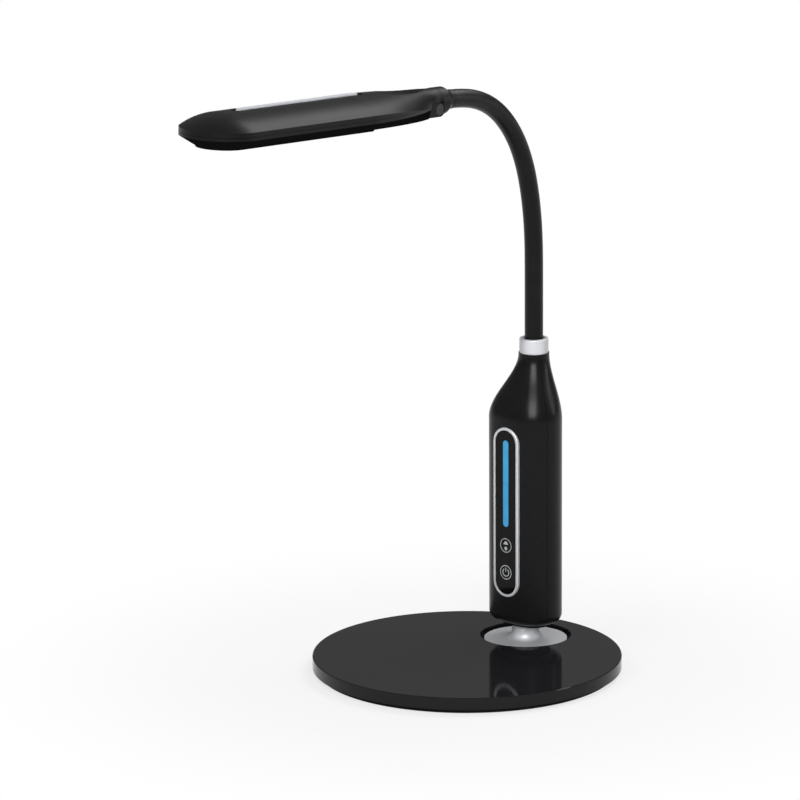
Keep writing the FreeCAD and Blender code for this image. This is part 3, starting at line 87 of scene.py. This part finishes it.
class Finish:
    def __init__(self, name, owner=None):
        self.owner = owner or bpy.data.materials.new(name)
        self.owner.use_nodes = True
        self.tree = self.owner.node_tree
        self.tree.nodes.clear()

    # settings come first, then values or links for the sockets
    def node(self, kind, settings=None, inputs=None, output=0):
        made = self.tree.nodes.new(kind)
        for key, value in (settings or {}).items():
            if key == "stops":
                for stop in value[2:]:
                    made.color_ramp.elements.new(stop[0])
                for element, (spot, colour) in zip(made.color_ramp.elements, value):
                    element.position = spot
                    element.color = (*colour, 1)
            else:
                setattr(made, key, value)
        for key, value in (inputs or {}).items():
            if isinstance(value, Signal):
                self.tree.links.new(value.socket, made.inputs[key])
            else:
                made.inputs[key].default_value = value
        return Signal(self, made.outputs[output]) if len(made.outputs) else None

    def spot(self, scale=(1, 1, 1), shift=(0, 0, 0)):
        where = self.node("ShaderNodeTexCoord", output="Object")
        return self.node("ShaderNodeMapping", inputs={"Vector": where, "Scale": scale, "Location": shift})

    # noise whose lumps are about size metres across
    def grain(self, size, detail=2.0, stretch=(1, 1, 1)):
        wants = {"Vector": self.spot(stretch), "Scale": 1 / size, "Detail": detail, "Roughness": 0.55}
        return self.node("ShaderNodeTexNoise", inputs=wants, output="Fac")

    # the part of a signal between two levels, spread over 0 to 1
    def between(self, signal, low, high):
        wants = {"Value": signal, "From Min": low, "From Max": high}
        return self.node("ShaderNodeMapRange", {"interpolation_type": "SMOOTHSTEP"}, wants)

    def bump(self, height, depth, strength=1.0):
        return self.node("ShaderNodeBump", inputs={"Height": height, "Distance": depth, "Strength": strength})

    def mix(self, factor, first, second):
        wants = {0: factor, 6: (*first, 1) if isinstance(first, tuple) else first}
        wants[7] = (*second, 1) if isinstance(second, tuple) else second
        return self.node("ShaderNodeMix", {"data_type": "RGBA"}, wants, output=2)

    def shader(self, wants):
        return self.node("ShaderNodeBsdfPrincipled", inputs=wants)

    def shown(self, shader):
        self.node("ShaderNodeOutputMaterial", inputs={"Surface": shader})
        return self.owner

    def surface(self, wants):
        return self.shown(self.shader(wants))


# Finishes
# Moulded gloss: soft smears from handling, a few specks of dust, the faintest ripple
wear = {"smearSize": 0.045, "smears": (0.42, 0.72), "speckSize": 0.0011, "specks": (0.74, 0.8),
        "speckRoughness": 0.3, "rippleSize": 0.006, "cloudSize": 0.12, "dust": (0.08, 0.08, 0.085),
        "dustShare": 0.25}
baseGloss = {"dark": (0.011, 0.011, 0.0122), "light": (0.015, 0.015, 0.0165), "roughness": 0.045,
             "smear": 0.04, "ripple": 0.000002, "specular": 0.14}
bodyGloss = {"dark": (0.0095, 0.0095, 0.0102), "light": (0.013, 0.013, 0.0138), "roughness": 0.25,
             "smear": 0.05, "ripple": 0.000005, "specular": 0.1}
lensGloss = {"dark": (0.0035, 0.0037, 0.0038), "light": (0.005, 0.0052, 0.0053), "roughness": 0.06,
             "smear": 0.06, "ripple": 0.000002, "specular": 0.12}


def glossPlastic(name, look):
    finish = Finish(name)
    smears = finish.between(finish.grain(wear["smearSize"], 3), *wear["smears"])
    specks = finish.between(finish.grain(wear["speckSize"], 1), *wear["specks"])
    ripple = finish.grain(wear["rippleSize"], 1)
    roughness = look["roughness"] + smears * look["smear"] + specks * wear["speckRoughness"]
    colour = finish.mix(finish.grain(wear["cloudSize"]), look["dark"], look["light"])
    dusty = finish.mix(specks * wear["dustShare"], colour, wear["dust"])
    return finish.surface({"Base Color": dusty, "Roughness": roughness,
                           "Normal": finish.bump(ripple, look["ripple"]),
                           "Specular IOR Level": look["specular"]})


# Moulded satin: an even spark-eroded grain that scatters the light, over faint patches
patchy = {"size": 0.05, "smoother": 0.03, "rougher": 0.06, "grainRoughness": 0.04}
headSatin = {"dark": (0.006, 0.006, 0.0068), "light": (0.0085, 0.0085, 0.0095), "roughness": 0.34,
             "grain": 0.00035, "depth": 0.00001, "specular": 0.12}
# Matt underside of the head: partly its duller finish, partly painted shade, as a darker copy of the satin
# without gloss so that it reads as shaded from below
undersideShaded = {"dark": (0.0055, 0.0055, 0.006), "light": (0.0085, 0.0085, 0.009), "roughness": 0.7,
                 "grain": 0.0005, "depth": 0.00001, "specular": 0.0}
innerSatin = {"dark": (0.006, 0.006, 0.0065), "light": (0.010, 0.010, 0.0105), "roughness": 0.6,
              "grain": 0.0006, "depth": 0.00002, "specular": 0.05}
blackScrew = {"dark": (0.010, 0.010, 0.011), "light": (0.018, 0.018, 0.019), "roughness": 0.38,
              "grain": 0.0003, "depth": 0.00001, "specular": 0.4}


def satinShader(finish, look):
    grain = finish.grain(look["grain"], 1)
    patches = finish.grain(patchy["size"], 3)
    colour = finish.mix(patches, look["dark"], look["light"])
    roughness = look["roughness"] - patchy["smoother"] + patches * patchy["rougher"]
    return finish.shader({"Base Color": colour, "Roughness": roughness + grain * patchy["grainRoughness"],
                          "Normal": finish.bump(grain, look["depth"]),
                          "Specular IOR Level": look["specular"]})


def satinPlastic(name, look):
    finish = Finish(name)
    return finish.shown(satinShader(finish, look))


# The dished thumb rest on the head's tail: a shallow round cut across the crown. Painted shade: inside it the
# crown's satin gives way to a dull black that takes no sheen, so the hollow reads as a dark shaded recess
thumbRest = {"pivot": (-0.034651, 0.375244), "tilt": 3.4, "rear": 0.009, "front": 0.0495, "depth": 0.0013,
             "drop": 0.01535 - 0.00145, "lean": 2.65, "margin": 0.0002, "blur": 0.00003,
             "colour": (0.009, 0.009, 0.0098, 1), "roughness": 0.5, "specular": 0.03}


# where the painted shade goes: the crown inside the thumb rest's round cut, a little past its rim
def thumbRestShadeMask(finish):
    half = (thumbRest["front"] - thumbRest["rear"]) / 2
    radius = (half**2 + thumbRest["depth"]**2) / (2 * thumbRest["depth"])
    swing = radius - thumbRest["depth"]
    lean = math.radians(thumbRest["lean"])
    y = swing * math.sin(lean) - half - thumbRest["rear"]
    z = swing * math.cos(lean) + thumbRest["drop"]
    turned = Matrix.Rotation(math.radians(-thumbRest["tilt"]), 4, "X") @ Vector((0, y, z))
    centre = Vector((0, *thumbRest["pivot"])) + turned
    flat = finish.spot(scale=(0, 1, 1))
    away = finish.node("ShaderNodeVectorMath", {"operation": "DISTANCE"},
                       {0: flat, 1: centre}, output="Value")
    edge = radius + thumbRest["margin"]
    return 1 - finish.between(away, edge - thumbRest["blur"], edge + thumbRest["blur"])


def headPlastic(name, look):
    finish = Finish(name)
    satin = satinShader(finish, look)
    # painted shade for the thumb rest's hollow: dull black without sheen
    paintedRestShade = finish.shader({"Base Color": thumbRest["colour"], "Roughness": thumbRest["roughness"],
                          "Specular IOR Level": thumbRest["specular"]})
    wants = {0: thumbRestShadeMask(finish), 1: satin, 2: paintedRestShade}
    return finish.shown(finish.node("ShaderNodeMixShader", inputs=wants))


# Sleeve rubber: matt, with a fine grain and patches of dry bloom
dryBloom = {"size": 0.018, "levels": (0.4, 0.75), "rougher": 0.08, "grainRoughness": 0.05}
neckRubber = {"dark": (0.0055, 0.0055, 0.006), "light": (0.009, 0.009, 0.0095), "roughness": 0.3,
              "grain": 0.0005, "depth": 0.000018, "specular": 0.15}
footRubber = {"dark": (0.016, 0.016, 0.016), "light": (0.03, 0.03, 0.03), "roughness": 0.82,
              "grain": 0.0011, "depth": 0.00009, "specular": 0.3}


def rubber(name, look):
    finish = Finish(name)
    grain = finish.grain(look["grain"], 2)
    bloom = finish.between(finish.grain(dryBloom["size"], 4), *dryBloom["levels"])
    colour = finish.mix(bloom, look["dark"], look["light"])
    roughness = look["roughness"] + bloom * dryBloom["rougher"] + grain * dryBloom["grainRoughness"]
    return finish.surface({"Base Color": colour, "Roughness": roughness,
                           "Normal": finish.bump(grain, look["depth"]),
                           "Specular IOR Level": look["specular"]})


# Satin silver: fine blasted grain, brushed a little along one way, with painted shade that darkens it where
# it turns away from the camera, standing in for dark surroundings reflected in its flanks
# turned gives the facing levels, and a look's edge the share of colour kept, for the painted flank shade
metalCloud = {"size": 0.02, "rougher": 0.06, "grainRoughness": 0.05, "turned": (0.05, 0.5)}
silver = {"dark": (0.84, 0.855, 0.88), "light": (0.89, 0.905, 0.93), "edge": 0.66, "roughness": 0.4,
          "brush": (1, 1, 0.06), "grain": 0.0003, "depth": 0.000006, "metallic": 0.15}
barSilver = {"dark": (0.76, 0.785, 0.82), "light": (0.84, 0.865, 0.90), "roughness": 0.36,
             "brush": (1, 0.06, 1), "grain": 0.0003, "depth": 0.000006, "metallic": 0.15}
weightSteel = {"dark": (0.30, 0.30, 0.31), "light": (0.42, 0.42, 0.43), "roughness": 0.42,
               "brush": (1, 0.1, 1), "grain": 0.0009, "depth": 0.00002, "metallic": 1.0}
hoseSteel = {"dark": (0.42, 0.42, 0.42), "light": (0.55, 0.55, 0.55), "roughness": 0.34,
             "brush": (1, 1, 1), "grain": 0.0004, "depth": 0.00001, "metallic": 1.0}
fastenerSteel = {"dark": (0.50, 0.50, 0.49), "light": (0.66, 0.66, 0.64), "roughness": 0.3,
                 "brush": (1, 1, 0.2), "grain": 0.0003, "depth": 0.000008, "metallic": 1.0}
boardAluminium = {"dark": (0.72, 0.72, 0.72), "light": (0.82, 0.82, 0.82), "roughness": 0.45,
                  "brush": (1, 1, 1), "grain": 0.0008, "depth": 0.00001, "metallic": 0.8}


def metal(name, look):
    finish = Finish(name)
    grain = finish.grain(look["grain"], 2, look["brush"])
    cloud = finish.grain(metalCloud["size"], 3)
    colour = finish.mix(cloud, look["dark"], look["light"])
    # painted shade: the colour is darkened towards the flanks that turn away from the camera
    if "edge" in look:
        turned = finish.node("ShaderNodeLayerWeight", inputs={"Blend": 0.5}, output="Facing")
        away = finish.between(turned, *metalCloud["turned"])
        shade = 1 - away * (1 - look["edge"])
        colour = finish.node("ShaderNodeVectorMath", {"operation": "SCALE"}, {0: colour, "Scale": shade})
    roughness = look["roughness"] + cloud * metalCloud["rougher"] + grain * metalCloud["grainRoughness"]
    return finish.surface({"Base Color": colour, "Roughness": roughness, "Metallic": look["metallic"],
                           "Normal": finish.bump(grain, look["depth"])})


# Lit blue bar: light comes through the plastic, a little unevenly
slider = {"plastic": (0.02, 0.10, 0.18, 1), "weak": (0.006, 0.25, 0.50), "strong": (0.012, 0.33, 0.60),
          "strength": 0.82, "roughness": 0.3, "cloudSize": 0.009, "levels": (0.3, 0.7)}


def litPlastic(name, look):
    finish = Finish(name)
    cloud = finish.between(finish.grain(look["cloudSize"]), *look["levels"])
    glow = finish.mix(cloud, look["weak"], look["strong"])
    return finish.surface({"Base Color": look["plastic"], "Roughness": look["roughness"],
                           "Emission Color": glow, "Emission Strength": look["strength"]})


# Milky light panel with small moulded lenses
diffuser = {"dark": (0.78, 0.78, 0.76), "light": (0.86, 0.86, 0.85), "roughness": 0.38,
            "lens": 0.0016, "depth": 0.00006, "cloudSize": 0.03}


def milkyPlastic(name, look):
    finish = Finish(name)
    wants = {"Vector": finish.spot(), "Scale": 1 / look["lens"], "Randomness": 0.0}
    cells = finish.node("ShaderNodeTexVoronoi", inputs=wants, output="Distance")
    colour = finish.mix(finish.grain(look["cloudSize"]), look["dark"], look["light"])
    return finish.surface({"Base Color": colour, "Roughness": look["roughness"],
                           "Normal": finish.bump(cells, look["depth"])})


# Circuit board: green lacquer over copper runs, with tinned spots
board = {"lacquer": (0.012, 0.11, 0.045), "run": (0.03, 0.19, 0.07), "tin": (0.55, 0.55, 0.52),
         "pitch": 0.0022, "runsPerPitch": 0.35, "wander": 3.0, "runEdge": (0.5, 0.62),
         "dotsPerPitch": 0.5, "dotEdge": (0.16, 0.2), "roughness": 0.45, "tinSmoother": 0.15,
         "depth": 0.00003}


def circuitBoard(name, look):
    finish = Finish(name)
    wants = {"Vector": finish.spot(), "Scale": look["runsPerPitch"] / look["pitch"],
             "Distortion": look["wander"], "Detail": 0.0}
    lines = finish.node("ShaderNodeTexWave", {"bands_direction": "Z"}, wants, output="Fac")
    runs = finish.between(lines, *look["runEdge"])
    wants = {"Vector": finish.spot(), "Scale": look["dotsPerPitch"] / look["pitch"]}
    dots = finish.node("ShaderNodeTexVoronoi", inputs=wants, output="Distance")
    tinned = 1 - finish.between(dots, *look["dotEdge"])
    colour = finish.mix(tinned, finish.mix(runs, look["lacquer"], look["run"]), look["tin"])
    roughness = look["roughness"] - tinned * look["tinSmoother"]
    return finish.surface({"Base Color": colour, "Roughness": roughness, "Metallic": tinned,
                           "Normal": finish.bump(runs + tinned, look["depth"])})


# Light chips: yellow phosphor, and the plain pale plastic of washers
phosphor = {"dark": (0.74, 0.58, 0.12), "light": (0.85, 0.70, 0.22), "roughness": 0.35,
            "grain": 0.0004, "depth": 0.00001, "specular": 0.5}
paleNylon = {"dark": (0.62, 0.60, 0.54), "light": (0.70, 0.68, 0.62), "roughness": 0.5,
             "grain": 0.0007, "depth": 0.00001, "specular": 0.5}
printedGrey = {"dark": (0.56, 0.57, 0.58), "light": (0.64, 0.65, 0.66), "roughness": 0.5,
               "grain": 0.0003, "depth": 0.000004, "specular": 0.4}

finishes = {
    "base_plastic": glossPlastic("baseGloss", baseGloss),
    "body_plastic": glossPlastic("bodyGloss", bodyGloss),
    "lens_plastic": glossPlastic("lensGloss", lensGloss),
    "head_plastic": satinPlastic("headSatin", headSatin),
    "inner_plastic": satinPlastic("innerSatin", innerSatin),
    "neck_rubber": rubber("neckRubber", neckRubber),
    "foot_rubber": rubber("footRubber", footRubber),
    "silver": metal("satinSilver", silver),
    "weight_steel": metal("weightSteel", weightSteel),
    "hose_steel": metal("hoseSteel", hoseSteel),
    "fastener_steel": metal("fastenerSteel", fastenerSteel),
    "board_aluminium": metal("boardAluminium", boardAluminium),
    "slider_plastic": litPlastic("litBlue", slider),
    "diffuser_plastic": milkyPlastic("milkyPanel", diffuser),
    "circuit_board": circuitBoard("circuitBoard", board),
    "chip_plastic": satinPlastic("phosphor", phosphor),
    "washer_plastic": satinPlastic("paleNylon", paleNylon),
}
for part in frame["record"]["subparts"]:
    piece = nodes[part["node"]]
    piece.data.materials.clear()
    piece.data.materials.append(finishes[part["material_slot"]])
for name in ("pivot_screw", "pivot_nut"):
    nodes[name].data.materials[0] = satinPlastic("blackScrew", blackScrew)
nodes["head_trim_bar"].data.materials[0] = metal("barSilver", barSilver)
nodes["head_top_shell"].data.materials[0] = headPlastic("headTop", headSatin)
# the underside's painted shade goes on the bottom shell and the bezel
for name in ("head_bottom_shell", "diffuser_bezel"):
    nodes[name].data.materials[0] = satinPlastic("undersideShaded", undersideShaded)
print("finishes:", len(finishes))


# Gooseneck sleeve
# One smooth rubber tube in lengths, each bending over one hinge of the neck
sleeve = {"radius": 0.006, "start": (0.0669, 0.209), "stretch": 0.01775, "rootDepth": 0.009,
          "turns": (0, 0, 0.5, 3.7, 4.8, 5.6, 9.3, 11.4, 13.0, 15.8, 14.6, 7.9),
          "stepsEach": 8, "sides": 48, "straight": 1e-9}


# place and lean of the neck's line, at a distance counted in stretches
def neckSpot(count):
    y, z = sleeve["start"]
    lean = 0.0
    length = sleeve["stretch"]
    if count < 0:
        return Vector((0, y, z + count * length)), 0.0
    for turn in sleeve["turns"]:
        share = min(count, 1.0)
        swing = math.radians(turn) * share
        run = length * share
        if abs(swing) < sleeve["straight"]:
            y -= run * math.sin(lean)
            z += run * math.cos(lean)
        else:
            y += run / swing * (math.cos(lean + swing) - math.cos(lean))
            z += run / swing * (math.sin(lean + swing) - math.sin(lean))
        lean += swing
        count -= 1
        if count <= 0:
            break
    return Vector((0, y, z)), lean


def neckMatrix(count):
    place, lean = neckSpot(count)
    return Matrix.Translation(place) @ Matrix.Rotation(lean, 4, "X")


def newPiece(name, mesh, material):
    bmesh.ops.recalc_face_normals(mesh, faces=mesh.faces)
    data = bpy.data.meshes.new(name)
    mesh.to_mesh(data)
    mesh.free()
    piece = bpy.data.objects.new(name, data)
    bpy.context.scene.collection.objects.link(piece)
    data.materials.append(material)
    return piece


def sleeveLength(name, first, last):
    mesh = bmesh.new()
    bmesh.ops.create_circle(mesh, cap_ends=True, radius=sleeve["radius"], segments=sleeve["sides"])
    bmesh.ops.transform(mesh, matrix=neckMatrix(first), verts=mesh.verts)
    end = mesh.faces[:]
    steps = round((last - first) * sleeve["stepsEach"])
    for step in range(steps):
        before = first + (last - first) * step / steps
        after = first + (last - first) * (step + 1) / steps
        grown = bmesh.ops.extrude_face_region(mesh, geom=end)["geom"]
        moved = [part for part in grown if isinstance(part, bmesh.types.BMVert)]
        end = [part for part in grown if isinstance(part, bmesh.types.BMFace)]
        shift = neckMatrix(after) @ neckMatrix(before).inverted()
        bmesh.ops.transform(mesh, matrix=shift, verts=moved)
    for face in mesh.faces:
        face.smooth = len(face.verts) == 4
    for edge in mesh.edges:
        edge.smooth = all(face.smooth for face in edge.link_faces)
    return newPiece(name, mesh, finishes["neck_rubber"])


lengths = len(sleeve["turns"]) - 1
for number in range(1, lengths + 1):
    first = -sleeve["rootDepth"] / sleeve["stretch"] if number == 1 else number - 0.5
    last = lengths + 1 if number == lengths else number + 0.5
    piece = sleeveLength("sleeve_length_%02d" % number, first, last)
    neckSpot(number - 0.5)[0]
    neckSpot(number + 0.5)[0]
    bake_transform(piece)
    covered = ["gooseneck_sleeve_%02d" % number]
    if number == lengths:
        covered.append("gooseneck_sleeve_%02d" % (number + 1))
    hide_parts(*covered)
print("sleeve:", lengths, "lengths")


# Touch signs
# Two printed signs on the panel's dark lens: a shade over a bulb, and the on-off sign
signs = {"proud": 0.00004, "line": 0.0005, "ring": 0.0045, "lampHeight": 0.0752, "powerHeight": 0.0571,
         "powerRing": 0.0025, "powerLine": 0.0007, "powerGap": 70, "stroke": (0.0007, 0.0028),
         "strokeRise": 0.0018, "bulb": 0.0012, "bulbDrop": 0.0020,
         "shade": (0.0008, 0.0021, 0.0021), "shadeRise": 0.0006,
         "bandSteps": 48, "discSides": 32, "weld": 0.000001}
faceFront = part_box("touch_lens")[0].y


# a flat band round a centre, left open at its top by the gap in degrees
def signBand(mesh, height, radius, line, gap=0):
    centre = Vector((0, faceFront, height))
    turn = Matrix.Rotation(math.radians(gap / 2), 4, "Y")
    ends = [mesh.verts.new(centre + turn @ Vector((0, 0, radius + side * line / 2))) for side in (-1, 1)]
    edge = mesh.edges.new(ends)
    bmesh.ops.spin(mesh, geom=ends + [edge], cent=centre, axis=(0, 1, 0), dvec=(0, 0, 0),
                   angle=math.radians(360 - gap), steps=signs["bandSteps"], use_merge=gap == 0)


def signDisc(mesh, height, radius):
    place = Matrix.Translation((0, faceFront, height)) @ Matrix.Rotation(math.pi / 2, 4, "X")
    bmesh.ops.create_circle(mesh, cap_ends=True, radius=radius, segments=signs["discSides"], matrix=place)


# a flat shape with four corners: half widths at its bottom and top
def signPatch(mesh, low, high, lowHalf, highHalf):
    corners = [(-lowHalf, low), (lowHalf, low), (highHalf, high), (-highHalf, high)]
    mesh.faces.new([mesh.verts.new((x, faceFront, z)) for x, z in corners])


def printSign(name, mesh):
    bmesh.ops.remove_doubles(mesh, verts=mesh.verts, dist=signs["weld"])
    grown = bmesh.ops.extrude_face_region(mesh, geom=mesh.faces[:])["geom"]
    moved = [part for part in grown if isinstance(part, bmesh.types.BMVert)]
    bmesh.ops.translate(mesh, verts=moved, vec=(0, -signs["proud"], 0))
    piece = newPiece(name, mesh, satinPlastic(name + "Ink", printedGrey))
    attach(piece, "stand")
    return piece


lampSign = bmesh.new()
signBand(lampSign, signs["lampHeight"], signs["ring"], signs["line"])
signDisc(lampSign, signs["lampHeight"] - signs["bulbDrop"], signs["bulb"])
shadeTop, shadeBottom, shadeTall = signs["shade"]
shadeLow = signs["lampHeight"] + signs["shadeRise"]
signPatch(lampSign, shadeLow, shadeLow + shadeTall, shadeBottom, shadeTop)
printSign("sign_lamp", lampSign)

powerSign = bmesh.new()
signBand(powerSign, signs["powerHeight"], signs["ring"], signs["line"])
signBand(powerSign, signs["powerHeight"], signs["powerRing"], signs["powerLine"], signs["powerGap"])
strokeWide, strokeTall = signs["stroke"]
strokeLow = signs["powerHeight"] + signs["strokeRise"] - strokeTall / 2
signPatch(powerSign, strokeLow, strokeLow + strokeTall, strokeWide / 2, strokeWide / 2)
printSign("sign_power", powerSign)
print("signs: 2")


# Studio
# Pale floor: lit near the lamp, so that its shadow stays, and plain white further off
floorLook = {"size": 60.0, "colour": 0.9, "glow": 0.72, "near": 0.12, "far": 0.34}


def makeFloor():
    mesh = bmesh.new()
    bmesh.ops.create_grid(mesh, x_segments=1, y_segments=1, size=floorLook["size"] / 2)
    finish = Finish("paleFloor")
    ray = finish.node("ShaderNodeLightPath")
    rays = ray.socket.node.outputs
    seen = Signal(finish, rays["Is Camera Ray"]) + Signal(finish, rays["Is Glossy Ray"])
    seen = finish.node("ShaderNodeMath", {"operation": "MINIMUM"},
                       {0: seen + Signal(finish, rays["Is Transmission Ray"]), 1: 1.0})
    away = finish.node("ShaderNodeVectorMath", {"operation": "LENGTH"}, {0: finish.spot()}, output="Value")
    far = finish.between(away, floorLook["near"], floorLook["far"])
    share = floorLook["glow"] + far * (1 - floorLook["glow"])
    pale = finish.node("ShaderNodeBsdfDiffuse", inputs={"Color": (floorLook["colour"],) * 3 + (1,)})
    white = finish.node("ShaderNodeEmission", inputs={"Color": (1, 1, 1, 1), "Strength": 1.0})
    both = finish.node("ShaderNodeMixShader", inputs={0: seen * share, 1: pale, 2: white})
    newPiece("floor", mesh, finish.shown(both))


makeFloor()

# Soft sky: dim at the horizon and up to a third of the height, brighter overhead
sky = {"horizon": (0.12, 0.12, 0.123), "low": (0.12, 0.12, 0.124), "high": (0.55, 0.55, 0.56),
       "lowHeight": 0.3}
skyStops = ((0.0, sky["horizon"]), (1.0, sky["high"]), (sky["lowHeight"], sky["low"]))
world = bpy.data.worlds.new("studioSky")
bpy.context.scene.world = world
air = Finish("studioSky", world)
upward = air.node("ShaderNodeTexCoord", output="Generated")
level = air.node("ShaderNodeSeparateXYZ", inputs={"Vector": upward}, output="Z")
shades = air.node("ShaderNodeValToRGB", {"stops": skyStops}, {"Fac": level}, output="Color")
glow = air.node("ShaderNodeBackground", inputs={"Color": shades, "Strength": 1.0})
air.node("ShaderNodeOutputWorld", inputs={"Surface": glow})

# Softboxes: bearing is seen from the camera, 0 behind it and 90 to its right
boxes = {
    "keyLeft": {"bearing": -50, "lift": 36, "distance": 2.2, "size": (1.2, 1.2),
                "power": 10.0, "seen": "matt"},
    "keyFront": {"bearing": 8, "lift": 24, "distance": 2.2, "size": (0.6, 0.7),
                 "power": 13.5, "seen": "matt"},
    "topBack": {"bearing": 134, "lift": 46, "distance": 1.8, "size": (1.2, 0.7),
                "power": 13.0, "seen": "both"},
    "stripRight": {"bearing": 95, "lift": 25, "distance": 1.7, "size": (0.4, 1.2),
                   "power": 7.0, "seen": "gloss"},
    "sheen": {"bearing": -2, "lift": 38, "distance": 2.2, "size": (1.1, 1.4),
              "power": 74.0, "seen": "gloss"},
}
aim = Vector((0, -0.06, 0.22))
cameraBearing = 41.5


# the way out from the object, at a bearing and a lift in degrees
def outward(bearing, lift):
    around, up = math.radians(bearing), math.radians(lift)
    return Vector((math.sin(around) * math.cos(up), -math.cos(around) * math.cos(up), math.sin(up)))


for name, box in boxes.items():
    lamp = bpy.data.lights.new(name, "AREA")
    lamp.shape = "RECTANGLE"
    lamp.size, lamp.size_y = box["size"]
    lamp.energy = box["power"]
    holder = bpy.data.objects.new(name, lamp)
    bpy.context.scene.collection.objects.link(holder)
    way = outward(cameraBearing + box["bearing"], box["lift"])
    holder.location = aim + way * box["distance"]
    holder.rotation_euler = way.to_track_quat("Z", "Y").to_euler()
    holder.visible_glossy = box["seen"] != "matt"
    holder.visible_diffuse = box["seen"] != "gloss"
print("studio: floor, sky and", len(boxes), "softboxes")


# Camera
view = {"lift": 13.992, "distance": 3.87875, "right": -0.042463, "up": 0.164028,
        "height": 0.011, "roll": -0.3127, "lens": 270.0, "sensor": 36, "near": 0.1, "far": 100}
around = math.radians(cameraBearing)
back = outward(cameraBearing, view["lift"])
right = Vector((math.cos(around), math.sin(around), 0))
up = back.cross(right)
camera = bpy.data.objects.new("camera", bpy.data.cameras.new("camera"))
bpy.context.scene.collection.objects.link(camera)
bpy.context.scene.camera = camera
camera.data.lens = view["lens"]
camera.data.sensor_width = view["sensor"]
camera.data.clip_start, camera.data.clip_end = view["near"], view["far"]
turned = Matrix((right, up, back)).transposed().to_4x4() @ Matrix.Rotation(math.radians(view["roll"]), 4, "Z")
place = back * view["distance"] + right * view["right"] + up * view["up"]
place.z += view["height"]
camera.matrix_world = Matrix.Translation(place) @ turned
bpy.context.scene.view_settings.view_transform = "Standard"
print("camera set")

bpy.context.view_layer.update()
